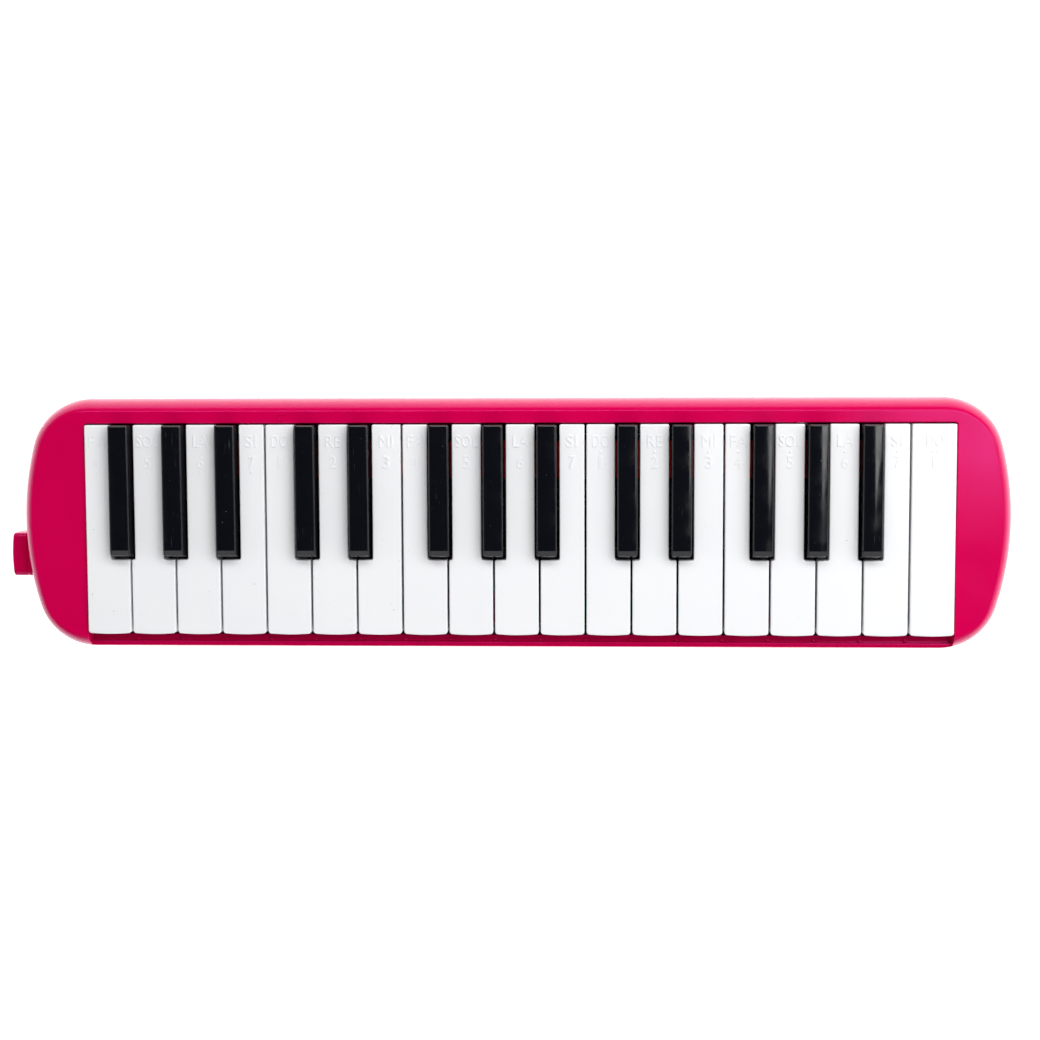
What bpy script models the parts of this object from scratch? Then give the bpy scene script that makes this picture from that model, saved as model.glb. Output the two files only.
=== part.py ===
"""A 32-key melodica, from low F to high C, as an assembly of separate pieces.

All dimensions below are in millimetres, measured from the middle of the case's underside:
X runs along the keyboard towards the high notes, Y towards the rear, Z up. The parent empty
"melodica" shifts everything so that the origin is under the middle of the whole instrument,
mouthpiece socket included. Each key turns on the steel axle under its middle: pressing its
front lifts the pallet at its rear off the red gasket, and air leaves that key's reed cell.
"""

import math

import bmesh
import bpy

MM = 0.001
GAP = 0.3                   # clearance kept between pieces that touch

# Case
CASE_LENGTH = 425.0
CASE_FRONT = -54.0
CASE_REAR = 54.0
END_RADIUS = 126.0          # the long arc of each end
END_CENTRE_Y = 2.0
CORNER_RADIUS = 26.0
WALL = 2.2
UNDERSIDE = 1.5             # the case floor, carried by its moulded feet
PARTING = 20.0
PLATEAU = 36.0              # the flat top of the ends and of the rear rim
LIP_TOP = 30.0              # the low front lip
LIP_WIDTH = 3.1
FLANK_WIDTH = 5.3           # from the case's outline in to the plateau's edge
LEDGE_TOP = 22.3            # the shelf behind the lip
LEDGE_REAR = -43.5
LEDGE_OVERLAP = 1.5         # how far the shelf runs into the case's ends
WINDOW_FLOOR = 22.6         # the keyboard's opening is cut down to here
KEYBOARD_GAP = 0.95         # between the opening's ends and the outer white keys
REAR_GAP = 0.9              # between the opening's rear and the keys

# Keyboard
WHITE_PITCH = 19.5
WHITE_COUNT = 19
KEYBOARD_LEFT = -183.3
WHITE_SLIT = 0.9            # between neighbouring white keys
KEY_FRONT = -46.9
KEY_REAR = 43.0
WHITE_TOP = 38.0
WHITE_SKIRT = 31.0          # lower edge of a white key's sides
WHITE_FRONT_SKIRT = 28.5
SKIRT_STEP = -43.4          # the sides are shallow from here back
KEY_WALL = 1.5
NOTCH_WIDTH = 10.5
NOTCH_FRONT = -14.7
KEY_CEILING = WHITE_TOP - 2.2
BLACK_WIDTH = 9.5
BLACK_TOP_WIDTH = 7.4
BLACK_SHOULDER_WIDTH = 8.0
BLACK_TOP_FRONT = -10.1
BLACK_TOP = 44.0
BLACK_SKIRT = 31.2
BLACK_SHOULDER = 38.8       # the sides are upright below it; also the hollow's ceiling
# The black key's front leans back as it rises, so that it clears the notch as it swings down.
BLACK_FRONT = ((31.2, -14.0), (35.5, -14.0), (38.8, -13.4), (43.1, -12.5))
# Each black key after a white one: the white key's letter, and how far the black key stands
# from the line between two white keys, in white pitches.
BLACK_AFTER = {"f": -0.175, "g": 0.0, "a": 0.165, "c": -0.09, "d": 0.08}
WHITE_LETTERS = "fgabcde"

# Key mechanism
PIVOT_Y = 12.0
PIVOT_Z = 29.2
AXLE_RADIUS = 1.0
BORE_RADIUS = 1.35
RIB_WIDTH = 4.0
PALLET_FRONT = 20.8
PALLET_REAR = 34.4
PALLET_WIDTH = 7.6
GASKET_TOP = 27.8
GASKET_FRONT = 19.6
GASKET_REAR = 35.6

# Wind chest, from its roof down
CHEST_LEFT = -186.5
CHEST_RIGHT = 190.0
CHEST_FRONT = -30.0
CHEST_REAR = 38.0
CHEST_TOP = 26.0
CHEST_BOTTOM = 17.0
CELL_TOP = 24.0
CELL_BOTTOM = 19.5
CELL_WIDTH = 8.4
CELL_REAR = 33.8
PORT_FRONT = 22.4
PORT_REAR = 32.8
PORT_WIDTH = 4.6
PLATE_TOP = 19.2
PLATE_BOTTOM = 18.0
TRAY_TOP = 15.7
TRAY_BOTTOM = 4.5
TRAY_FLOOR = 6.3
CHEST_WALL = 2.4
DRAIN_SEAT = 7.8            # top of the drain boss's floor, where the valve's seal sits
DRAIN_BOSS_BOTTOM = 6.3
DRAIN_BOSS_TOP = 16.6
DRAIN_BUTTON_BOTTOM = 1.9

# Mouthpiece socket and the drain valve
SOCKET_REACH = 9.0          # how far it stands out of the case's end
SOCKET_Y = -14.5
SOCKET_Z = 11.6
SOCKET_WIDTH = 19.0
SOCKET_HEIGHT = 14.4
SOCKET_BORE = 6.2
DRAIN_X = 197.0
DRAIN_Y = -14.5

# Screws
CASE_SCREWS = ((-198.0, 33.0), (198.0, 33.0), (-198.0, -36.0), (198.0, -36.0))
EAR_X = (-120.0, 124.0)
EAR_OUT = 6.6               # how far the chest's ears stand out from its front and rear

CASE_X = SOCKET_REACH / 2


# ---------------------------------------------------------------- helpers

def clear_scene():
    for thing in list(bpy.data.objects):
        bpy.data.objects.remove(thing)


def plain_material(name, colour, roughness, metallic=0.0):
    made = bpy.data.materials.new(name)
    made.use_nodes = True
    shader = made.node_tree.nodes["Principled BSDF"]
    shader.inputs["Base Color"].default_value = (*colour, 1.0)
    shader.inputs["Roughness"].default_value = roughness
    shader.inputs["Metallic"].default_value = metallic
    return made


def add_loft(bm, rings):
    """A closed solid through rings of points, listed upwards, each counter-clockwise."""
    rows = [[bm.verts.new(point) for point in ring] for ring in rings]
    count = len(rows[0])
    for low, high in zip(rows, rows[1:]):
        for k in range(count):
            after = (k + 1) % count
            bm.faces.new((low[k], low[after], high[after], high[k]))
    bm.faces.new(reversed(rows[0]))
    bm.faces.new(rows[-1])


def add_prism(bm, outline, low, high):
    """An outline in X and Y, counter-clockwise, raised from one height to another."""
    add_loft(bm, [[(x, y, z) for x, y in outline] for z in (low, high)])


def add_box(bm, low, high):
    corners = ((low[0], low[1]), (high[0], low[1]), (high[0], high[1]), (low[0], high[1]))
    add_prism(bm, corners, low[2], high[2])


def circle(x, y, radius, count=16):
    turn = 2 * math.pi / count
    return [
        (x + radius * math.cos(turn * (k + 0.5)), y + radius * math.sin(turn * (k + 0.5)))
        for k in range(count)
    ]


def add_turned(bm, centre, profile, count=16):
    """A solid turned about the vertical line through centre; profile lists (radius, z)."""
    add_loft(bm, [[(x, y, z) for x, y in circle(*centre, r, count)] for r, z in profile])


def add_bar(bm, profile, left, right):
    """A side view in Y and Z, counter-clockwise seen from +X, run from left to right."""
    add_loft(bm, [[(x, y, z) for y, z in profile] for x in (left, right)])


def new_object(name, bm, origin=(0.0, 0.0, 0.0)):
    """An object from a mesh built in millimetres about the case's middle."""
    bmesh.ops.translate(bm, verts=bm.verts, vec=[-value for value in origin])
    bmesh.ops.scale(bm, verts=bm.verts, vec=(MM, MM, MM))
    mesh = bpy.data.meshes.new(name)
    bm.to_mesh(mesh)
    bm.free()
    made = bpy.data.objects.new(name, mesh)
    bpy.context.scene.collection.objects.link(made)
    made.location = [value * MM for value in origin]
    return made


def piece(name, fill, material, origin=(0.0, 0.0, 0.0), smooth=False):
    """One named piece: fill(bm) draws it, and its origin may lie on its joint's axis."""
    bm = bmesh.new()
    fill(bm)
    made = new_object(name, bm, origin)
    made.data.materials.append(material)
    made.parent = bpy.data.objects["melodica"]
    if smooth:
        made.data.shade_smooth()
        made.data.set_sharp_from_angle(angle=math.radians(35))
    return made


def combine(target, operation, fill, label, origin=(0.0, 0.0, 0.0)):
    """Cuts a helper solid from the target, or joins it on."""
    bm = bmesh.new()
    fill(bm)
    helper = new_object(f"{target.name}_{label}", bm, origin)
    helper.parent = bpy.data.objects["melodica"]
    helper.hide_render = True
    helper.display_type = "WIRE"
    modifier = target.modifiers.new(label, "BOOLEAN")
    modifier.operation = operation
    modifier.solver = "EXACT"
    modifier.use_self = True
    modifier.object = helper


# ---------------------------------------------------------------- outlines

def arc(centre, radius, start, end, count):
    return [
        (
            centre[0] + radius * math.cos(start + (end - start) * k / count),
            centre[1] + radius * math.sin(start + (end - start) * k / count),
        )
        for k in range(count + 1)
    ]


def case_outline(inset):
    """The case seen from above, drawn in by inset: two straight sides and two long end arcs."""
    end_x = CASE_LENGTH / 2 - END_RADIUS
    reach = END_RADIUS - CORNER_RADIUS
    quarter = math.pi / 2
    right = []
    corners = []
    for y in (CASE_FRONT + CORNER_RADIUS, CASE_REAR - CORNER_RADIUS):
        x = end_x + math.sqrt(reach**2 - (y - END_CENTRE_Y) ** 2)
        corners.append(((x, y), math.atan2(y - END_CENTRE_Y, x - end_x)))
    (front, front_angle), (rear, rear_angle) = corners
    radius = CORNER_RADIUS - inset
    end = (end_x, END_CENTRE_Y)
    right += arc(front, radius, -quarter, front_angle, 4)
    right += arc(end, END_RADIUS - inset, front_angle, 0.0, 3)[1:]
    right += arc(end, END_RADIUS - inset, 0.0, rear_angle, 3)[1:-1]
    right += arc(rear, radius, rear_angle, quarter, 4)
    return right + [(-x, y) for x, y in reversed(right)]


def case_ring(inset, z):
    return [(x, y, z) for x, y in case_outline(inset)]


# ---------------------------------------------------------------- the keyboard's layout

def white_letter(index):
    return WHITE_LETTERS[index % len(WHITE_LETTERS)]


def white_octave(index):
    """The octave number, which steps up at each C; the lowest key is F3."""
    return 3 + (index + 3) // len(WHITE_LETTERS)


def white_line(index):
    """The X of the line at the left of white key number index."""
    return KEYBOARD_LEFT + WHITE_PITCH * index


def black_centre(index):
    """The X of the black key between white keys index and index + 1, or None."""
    if not 0 <= index < WHITE_COUNT - 1:
        return None
    offset = BLACK_AFTER.get(white_letter(index))
    if offset is None:
        return None
    return white_line(index + 1) + offset * WHITE_PITCH


def white_sides(index):
    """The left and right X of a white key's wide front and of its narrower tail."""
    left = white_line(index) + WHITE_SLIT / 2
    right = white_line(index + 1) - WHITE_SLIT / 2
    before = black_centre(index - 1)
    after = black_centre(index)
    tail_left = left if before is None else before + NOTCH_WIDTH / 2
    tail_right = right if after is None else after - NOTCH_WIDTH / 2
    return left, right, tail_left, tail_right


def key_columns():
    """Each key from the lowest: (name, X of the middle of its rear part)."""
    columns = []
    for index in range(WHITE_COUNT):
        octave = white_octave(index)
        _, _, left, right = white_sides(index)
        columns.append((f"white_key_{white_letter(index)}{octave}", (left + right) / 2))
        black = black_centre(index)
        if black is not None:
            columns.append((f"black_key_{white_letter(index)}s{octave}", black))
    return columns


# ---------------------------------------------------------------- keys

def add_shell(bm, outer, inner, ceiling):
    """A cap open below: outer rings upwards, and the hollow's rings upwards to its ceiling."""
    rows = [[bm.verts.new(point) for point in ring] for ring in outer]
    hollow = [[bm.verts.new(point) for point in ring] for ring in inner]
    hollow.append([bm.verts.new((x, y, ceiling)) for x, y, _ in inner[-1]])
    count = len(outer[0])
    for k in range(count):
        after = (k + 1) % count
        for low, high in zip(rows, rows[1:]):
            bm.faces.new((low[k], low[after], high[after], high[k]))
        for low, high in zip(hollow, hollow[1:]):
            bm.faces.new((low[after], low[k], high[k], high[after]))
        bm.faces.new((rows[0][after], rows[0][k], hollow[0][k], hollow[0][after]))
    bm.faces.new(rows[-1])
    bm.faces.new(reversed(hollow[-1]))


def white_outline(index, inset):
    """A white key from above, from its front left corner, with notches for its black keys."""
    left, right, tail_left, tail_right = white_sides(index)
    front, rear = KEY_FRONT + inset, KEY_REAR - inset
    notch = NOTCH_FRONT - inset
    points = [(left + inset, front), (right - inset, front), (right - inset, SKIRT_STEP)]
    if tail_right < right:
        points += [(right - inset, notch), (tail_right - inset, notch)]
    points += [(tail_right - inset, rear), (tail_left + inset, rear)]
    if tail_left > left:
        points += [(tail_left + inset, notch), (left + inset, notch)]
    return points + [(left + inset, SKIRT_STEP)]


def add_white_cap(bm, index):
    def lower_edge(y):
        return WHITE_FRONT_SKIRT if y < SKIRT_STEP else WHITE_SKIRT

    outer = white_outline(index, 0.0)
    inner = white_outline(index, KEY_WALL)
    add_shell(
        bm,
        [[(x, y, lower_edge(y)) for x, y in outer], [(x, y, WHITE_TOP) for x, y in outer]],
        [[(x, y, lower_edge(y)) for x, y in inner]],
        KEY_CEILING,
    )


def add_black_cap(bm, x):
    def ring(width, front, rear, z):
        half = width / 2
        return [(x - half, front, z), (x + half, front, z), (x + half, rear, z), (x - half, rear, z)]

    widths = (BLACK_WIDTH, BLACK_WIDTH, BLACK_WIDTH, BLACK_SHOULDER_WIDTH)
    outer = [ring(width, y, KEY_REAR, z) for width, (z, y) in zip(widths, BLACK_FRONT)]
    outer.append(ring(BLACK_TOP_WIDTH, BLACK_TOP_FRONT, KEY_REAR - 0.5, BLACK_TOP))
    front = BLACK_FRONT[0][1] + KEY_WALL
    hollow = ring(BLACK_WIDTH - 2 * KEY_WALL, front, KEY_REAR - KEY_WALL, BLACK_SKIRT)
    add_shell(bm, outer, [hollow], BLACK_SHOULDER)


def add_rib(bm, x, ceiling):
    """The lever under a key's rear half, with the boss that turns on the axle."""
    top = ceiling + 0.6
    boss = 2.7
    low = PIVOT_Z - boss
    profile = [
        (PIVOT_Y - 9.0, top),
        (PIVOT_Y - 9.0, PIVOT_Z + 1.4),
        (PIVOT_Y - boss, PIVOT_Z + 1.4),
        (PIVOT_Y - boss, low + 1.2),
        (PIVOT_Y - boss + 1.2, low),
        (PIVOT_Y + boss - 1.2, low),
        (PIVOT_Y + boss, low + 1.2),
        (PIVOT_Y + boss, PIVOT_Z + 1.2),
        (PALLET_REAR, PIVOT_Z + 1.2),
        (PALLET_REAR, top),
    ]
    add_bar(bm, profile, x - RIB_WIDTH / 2, x + RIB_WIDTH / 2)


def add_pallet(bm, x):
    """The foot that closes this key's port, pressing on the gasket."""
    half = PALLET_WIDTH / 2
    low = (x - half, PALLET_FRONT, GASKET_TOP + GAP)
    high = (x + half, PALLET_REAR - 0.4, PIVOT_Z + 2.0)
    add_box(bm, low, high)


def add_axle_bore(bm, x):
    ring = [(y, z) for y, z in circle(PIVOT_Y, PIVOT_Z, BORE_RADIUS, 8)]
    add_bar(bm, ring, x - RIB_WIDTH, x + RIB_WIDTH)


def make_key(name, x, fill_cap, ceiling, material):
    """A key: its cap, with rib and pallet joined on, and its origin on the axle."""
    origin = (x, PIVOT_Y, PIVOT_Z)
    key = piece(name, fill_cap, material, origin)
    combine(key, "UNION", lambda bm: add_rib(bm, x, ceiling), "rib", origin)
    combine(key, "UNION", lambda bm: add_pallet(bm, x), "pallet", origin)
    combine(key, "DIFFERENCE", lambda bm: add_axle_bore(bm, x), "bore", origin)


def make_keys(white, black):
    for index in range(WHITE_COUNT):
        octave = white_octave(index)
        _, _, left, right = white_sides(index)
        name = f"white_key_{white_letter(index)}{octave}"
        middle = (left + right) / 2
        make_key(name, middle, lambda bm: add_white_cap(bm, index), KEY_CEILING, white)
        x = black_centre(index)
        if x is None:
            continue
        name = f"black_key_{white_letter(index)}s{octave}"
        make_key(name, x, lambda bm: add_black_cap(bm, x), BLACK_SHOULDER, black)


# ---------------------------------------------------------------- case

def upper_case(material):
    def flank(bm):
        """The outside: a short wall, a rounded flank, then the crease of the plateau."""
        start = math.radians(30)
        half_width = FLANK_WIDTH / (1 - math.sin(start))
        rise = PLATEAU - PARTING - 2.0
        height = rise / math.cos(start)
        rings = [case_ring(0.0, PARTING + GAP / 2)]
        for k in range(4):
            angle = math.radians(90) + (start - math.radians(90)) * k / 3
            inset = half_width * (1 - math.sin(angle))
            rings.append(case_ring(inset, PARTING + 2.0 + height * math.cos(angle)))
        add_loft(bm, rings)

    def hollow(bm):
        roof = PLATEAU - WALL
        rings = ((WALL, PARTING - 1.0), (WALL, PARTING + 8.0), (FLANK_WIDTH + WALL, roof))
        add_loft(bm, [case_ring(inset, z) for inset, z in rings])

    def window(bm):
        """The keyboard's opening, with the front lip left lower than the ends."""
        beyond = KEYBOARD_GAP - WHITE_SLIT / 2
        left = KEYBOARD_LEFT - beyond
        right = white_line(WHITE_COUNT) + beyond
        above = PLATEAU + 14.0
        add_box(bm, (left, CASE_FRONT + LIP_WIDTH, WINDOW_FLOOR), (right, KEY_REAR + REAR_GAP, above))
        add_box(bm, (left, CASE_FRONT - 5.0, LIP_TOP), (right, CASE_FRONT + 4.0, above))

    def ledge(bm):
        """The shelf behind the lip that carries the white keys' felt."""
        left = KEYBOARD_LEFT - LEDGE_OVERLAP
        right = white_line(WHITE_COUNT) + LEDGE_OVERLAP
        add_box(bm, (left, CASE_FRONT + 1.0, PARTING + GAP), (right, LEDGE_REAR, LEDGE_TOP))

    def posts(bm):
        for x, y in CASE_SCREWS:
            add_turned(bm, (x, y), ((3.6, 9.3), (3.6, PLATEAU - 1.0)), 10)

    def pilots(bm):
        for x, y in CASE_SCREWS:
            add_turned(bm, (x, y), ((1.6, 5.0), (1.6, 24.0)), 8)

    case = piece("upper_case", flank, material, smooth=True)
    combine(case, "DIFFERENCE", hollow, "hollow")
    combine(case, "DIFFERENCE", window, "window")
    combine(case, "UNION", ledge, "ledge")
    combine(case, "UNION", posts, "posts")
    combine(case, "DIFFERENCE", pilots, "pilots")


def socket_block(bm, grow, left, right):
    """The socket's rounded rectangular outside, grown by a clearance."""
    half_y = SOCKET_WIDTH / 2 + grow
    half_z = SOCKET_HEIGHT / 2 + grow
    cut = 2.0
    profile = [
        (SOCKET_Y - half_y, SOCKET_Z - half_z + cut),
        (SOCKET_Y - half_y + cut, SOCKET_Z - half_z),
        (SOCKET_Y + half_y - cut, SOCKET_Z - half_z),
        (SOCKET_Y + half_y, SOCKET_Z - half_z + cut),
        (SOCKET_Y + half_y, SOCKET_Z + half_z - cut),
        (SOCKET_Y + half_y - cut, SOCKET_Z + half_z),
        (SOCKET_Y - half_y + cut, SOCKET_Z + half_z),
        (SOCKET_Y - half_y, SOCKET_Z + half_z - cut),
    ]
    add_bar(bm, profile, left, right)


def ear_places():
    """The middle of each ear of the wind chest: X, Y and the side of the chest it is on."""
    for x in EAR_X:
        yield x, CHEST_FRONT - EAR_OUT / 2, -1
        yield x, CHEST_REAR + EAR_OUT / 2, 1


def lower_case(material):
    def outside(bm):
        rings = ((8.0, UNDERSIDE), (4.0, 3.2), (1.6, 7.0), (0.6, 12.0), (0.0, PARTING - GAP / 2))
        add_loft(bm, [case_ring(inset, z) for inset, z in rings])

    def hollow(bm):
        rings = ((8.0, 3.5), (4.2, 7.0), (0.6 + WALL, 12.0), (WALL, PARTING + 1.0))
        add_loft(bm, [case_ring(inset, z) for inset, z in rings])

    def bosses(bm):
        for x, y in CASE_SCREWS:
            add_turned(bm, (x, y), ((4.6, 2.5), (4.6, 9.0)), 10)
        for x, y, _ in ear_places():
            add_turned(bm, (x, y), ((3.0, 2.5), (3.0, 12.0)), 10)

    def feet(bm):
        for x in (-150.0, 150.0):
            for y in (-30.0, 30.0):
                add_turned(bm, (x, y), ((6.0, 0.0), (7.0, UNDERSIDE + 0.8)), 14)

    def holes(bm):
        for x, y in CASE_SCREWS:
            add_turned(bm, (x, y), ((1.9, 0.0), (1.9, 12.0)), 8)
        for x, y, _ in ear_places():
            add_turned(bm, (x, y), ((1.6, 5.0), (1.6, 15.0)), 8)
        add_turned(bm, (DRAIN_X, DRAIN_Y), ((5.4, 0.0), (5.4, 5.0)), 14)
        socket_block(bm, GAP, -CASE_LENGTH / 2 - 5.0, -CASE_LENGTH / 2 + 12.0)

    def recesses(bm):
        for x, y in CASE_SCREWS:
            add_turned(bm, (x, y), ((3.5, 0.0), (3.5, 4.6)), 10)

    case = piece("lower_case", outside, material, smooth=True)
    combine(case, "DIFFERENCE", hollow, "hollow")
    combine(case, "UNION", bosses, "bosses")
    combine(case, "UNION", feet, "feet")
    combine(case, "DIFFERENCE", holes, "holes")
    combine(case, "DIFFERENCE", recesses, "recesses")


# ---------------------------------------------------------------- wind chest

def add_ears(bm, low, high):
    for x, y, side in ear_places():
        inner = y - side * (EAR_OUT / 2 + 1.0)
        outer = y + side * EAR_OUT / 2
        add_box(bm, (x - 4.0, min(inner, outer), low), (x + 4.0, max(inner, outer), high))


def add_ear_holes(bm, low, high):
    for x, y, _ in ear_places():
        add_turned(bm, (x, y), ((1.7, low), (1.7, high)), 8)


def cell_front(number):
    """Where a cell starts: the long bass reeds need long cells, the treble ones short."""
    return -24.0 + 26.0 * number / 31


def wind_chest(material):
    def block(bm):
        add_box(bm, (CHEST_LEFT, CHEST_FRONT, CHEST_BOTTOM), (CHEST_RIGHT, CHEST_REAR, CHEST_TOP))

    def plate_room(bm):
        low = (CHEST_LEFT + CHEST_WALL, CHEST_FRONT + CHEST_WALL, CHEST_BOTTOM - 1.0)
        high = (CHEST_RIGHT - CHEST_WALL, CHEST_REAR - CHEST_WALL, CELL_BOTTOM)
        add_box(bm, low, high)

    def cells(bm):
        for number, (_, x) in enumerate(key_columns()):
            half = CELL_WIDTH / 2
            low = (x - half, cell_front(number), CELL_BOTTOM - 1.0)
            add_box(bm, low, (x + half, CELL_REAR, CELL_TOP))

    def ports(bm):
        for _, x in key_columns():
            half = PORT_WIDTH / 2
            low = (x - half, PORT_FRONT, CELL_TOP - 1.0)
            add_box(bm, low, (x + half, PORT_REAR, CHEST_TOP + 1.0))

    chest = piece("wind_chest", block, material)
    combine(chest, "DIFFERENCE", plate_room, "plate_room")
    combine(chest, "DIFFERENCE", cells, "cells")
    combine(chest, "DIFFERENCE", ports, "ports")
    ears = (CHEST_BOTTOM + GAP, CHEST_BOTTOM + 3.3)
    combine(chest, "UNION", lambda bm: add_ears(bm, *ears), "ears")
    combine(chest, "DIFFERENCE", lambda bm: add_ear_holes(bm, 10.0, 24.0), "ear_holes")


def pallet_gasket(material):
    """The soft red strip on the chest's roof, with a port under every pallet."""
    def strip(bm):
        left, right = KEYBOARD_LEFT, white_line(WHITE_COUNT)
        add_box(bm, (left, GASKET_FRONT, CHEST_TOP + GAP), (right, GASKET_REAR, GASKET_TOP))

    def ports(bm):
        for _, x in key_columns():
            half = PORT_WIDTH / 2
            low = (x - half, PORT_FRONT, CHEST_TOP - 1.0)
            add_box(bm, low, (x + half, PORT_REAR, GASKET_TOP + 1.0))

    gasket = piece("pallet_gasket", strip, material)
    combine(gasket, "DIFFERENCE", ports, "ports")


def reed_length(number):
    return 33.0 - 17.0 * number / 31


def reed_plate(name, first, last, material):
    """A brass plate with a slot and a riveted reed for each note from first to last."""
    columns = key_columns()
    left = columns[first][1] - CELL_WIDTH / 2 - 1.1
    right = columns[last][1] + CELL_WIDTH / 2 + 1.1
    clear = CHEST_WALL + GAP
    slot_rear = 31.0

    def plate(bm):
        low = (left, CHEST_FRONT + clear, PLATE_BOTTOM)
        add_box(bm, low, (right, CHEST_REAR - clear, PLATE_TOP))

    def slots(bm):
        for number in range(first, last + 1):
            x = columns[number][1]
            low = (x - 1.7, slot_rear - reed_length(number), PLATE_BOTTOM - 1.0)
            add_box(bm, low, (x + 1.7, slot_rear, PLATE_TOP + 1.0))

    def reeds(bm):
        """Each reed's tongue hangs just under its slot, from a rivet pad at its front."""
        for number in range(first, last + 1):
            x = columns[number][1]
            front = slot_rear - reed_length(number)
            low = PLATE_BOTTOM - 0.6
            tongue = [
                (front - 4.2, low),
                (slot_rear - 0.3, low),
                (slot_rear - 0.3, low + 0.3),
                (front - 0.2, low + 0.3),
                (front - 0.2, PLATE_BOTTOM + 0.2),
                (front - 4.2, PLATE_BOTTOM + 0.2),
            ]
            add_bar(bm, tongue, x - 1.5, x + 1.5)

    brass = piece(name, plate, material)
    combine(brass, "DIFFERENCE", slots, "slots")
    combine(brass, "UNION", reeds, "reeds")


def chamber_gasket(material):
    def sheet(bm):
        low = (CHEST_LEFT, CHEST_FRONT, TRAY_TOP + GAP)
        add_box(bm, low, (CHEST_RIGHT, CHEST_REAR, CHEST_BOTTOM - GAP))

    def middle(bm):
        low = (CHEST_LEFT + CHEST_WALL, CHEST_FRONT + CHEST_WALL, TRAY_TOP - 1.0)
        high = (CHEST_RIGHT - CHEST_WALL, CHEST_REAR - CHEST_WALL, CHEST_BOTTOM + 1.0)
        add_box(bm, low, high)

    gasket = piece("chamber_gasket", sheet, material)
    combine(gasket, "DIFFERENCE", middle, "middle")


def chamber_tray(material):
    """The pressurised chamber under the reeds, with its inlet and its drain boss."""
    def block(bm):
        add_box(bm, (CHEST_LEFT, CHEST_FRONT, TRAY_BOTTOM), (CHEST_RIGHT, CHEST_REAR, TRAY_TOP))

    def boss(bm):
        low = (CHEST_RIGHT + GAP, DRAIN_Y - 6.5, DRAIN_BOSS_BOTTOM)
        add_box(bm, low, (DRAIN_X + 6.5, DRAIN_Y + 6.5, DRAIN_BOSS_TOP))
        low = (CHEST_RIGHT - 1.0, DRAIN_Y - 5.0, DRAIN_BOSS_BOTTOM + 0.2)
        add_box(bm, low, (CHEST_RIGHT + 1.0, DRAIN_Y + 5.0, TRAY_TOP - 0.7))

    def chamber(bm):
        low = (CHEST_LEFT + CHEST_WALL, CHEST_FRONT + CHEST_WALL, TRAY_FLOOR)
        high = (CHEST_RIGHT - CHEST_WALL, CHEST_REAR - CHEST_WALL, TRAY_TOP + 1.0)
        add_box(bm, low, high)

    def passages(bm):
        inlet = circle(SOCKET_Y, SOCKET_Z, 3.5, 12)
        add_bar(bm, inlet, CHEST_LEFT - 5.0, CHEST_LEFT + 5.0)
        add_turned(bm, (DRAIN_X, DRAIN_Y), ((4.2, DRAIN_SEAT), (4.2, DRAIN_BOSS_TOP + 1.0)), 14)

    def drains(bm):
        add_turned(bm, (DRAIN_X, DRAIN_Y), ((2.2, 2.0), (2.2, DRAIN_SEAT + 1.0)), 10)
        low = (CHEST_RIGHT - 4.0, DRAIN_Y - 2.2, DRAIN_SEAT)
        add_box(bm, low, (DRAIN_X, DRAIN_Y + 2.2, DRAIN_SEAT + 4.0))

    tray = piece("chamber_tray", block, material)
    combine(tray, "UNION", boss, "boss")
    combine(tray, "UNION", lambda bm: add_ears(bm, TRAY_TOP - 3.4, TRAY_TOP), "ears")
    combine(tray, "DIFFERENCE", chamber, "chamber")
    combine(tray, "DIFFERENCE", passages, "passages")
    combine(tray, "DIFFERENCE", drains, "drains")
    combine(tray, "DIFFERENCE", lambda bm: add_ear_holes(bm, 10.0, 24.0), "ear_holes")


# ---------------------------------------------------------------- key mechanism

def key_axle(material):
    def rod(bm):
        ring = circle(PIVOT_Y, PIVOT_Z, AXLE_RADIUS, 8)
        add_bar(bm, ring, KEYBOARD_LEFT - 0.2, white_line(WHITE_COUNT) + 0.2)

    piece("key_axle", rod, material)


def pivot_rail(material):
    """The comb on the chest's roof that holds the axle between every two keys."""
    columns = [x for _, x in key_columns()]
    middles = [(a + b) / 2 for a, b in zip(columns, columns[1:])]
    left, right = KEYBOARD_LEFT, white_line(WHITE_COUNT)
    posts_at = [left + 1.2] + middles + [right - 1.2]
    base = CHEST_TOP + GAP
    slot = AXLE_RADIUS + 0.2

    def strip(bm):
        """Kept low and in front of the bosses, so that the keys turn clear of it."""
        low = (left, PIVOT_Y - 6.8, base)
        add_box(bm, low, (right, PIVOT_Y - 3.6, base + 1.2))

    def posts(bm):
        """Each post's side view has an open notch that the axle snaps down into."""
        top = PIVOT_Z + 1.4
        profile = [
            (PIVOT_Y - 5.0, base),
            (PIVOT_Y + 3.0, base),
            (PIVOT_Y + 3.0, top),
            (PIVOT_Y + slot, top),
            (PIVOT_Y + slot, PIVOT_Z - slot),
            (PIVOT_Y - slot, PIVOT_Z - slot),
            (PIVOT_Y - slot, top),
            (PIVOT_Y - 3.0, top),
            (PIVOT_Y - 5.0, base + 1.4),
        ]
        for x in posts_at:
            add_bar(bm, profile, x - 1.0, x + 1.0)

    rail = piece("pivot_rail", strip, material)
    combine(rail, "UNION", posts, "posts")


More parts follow.
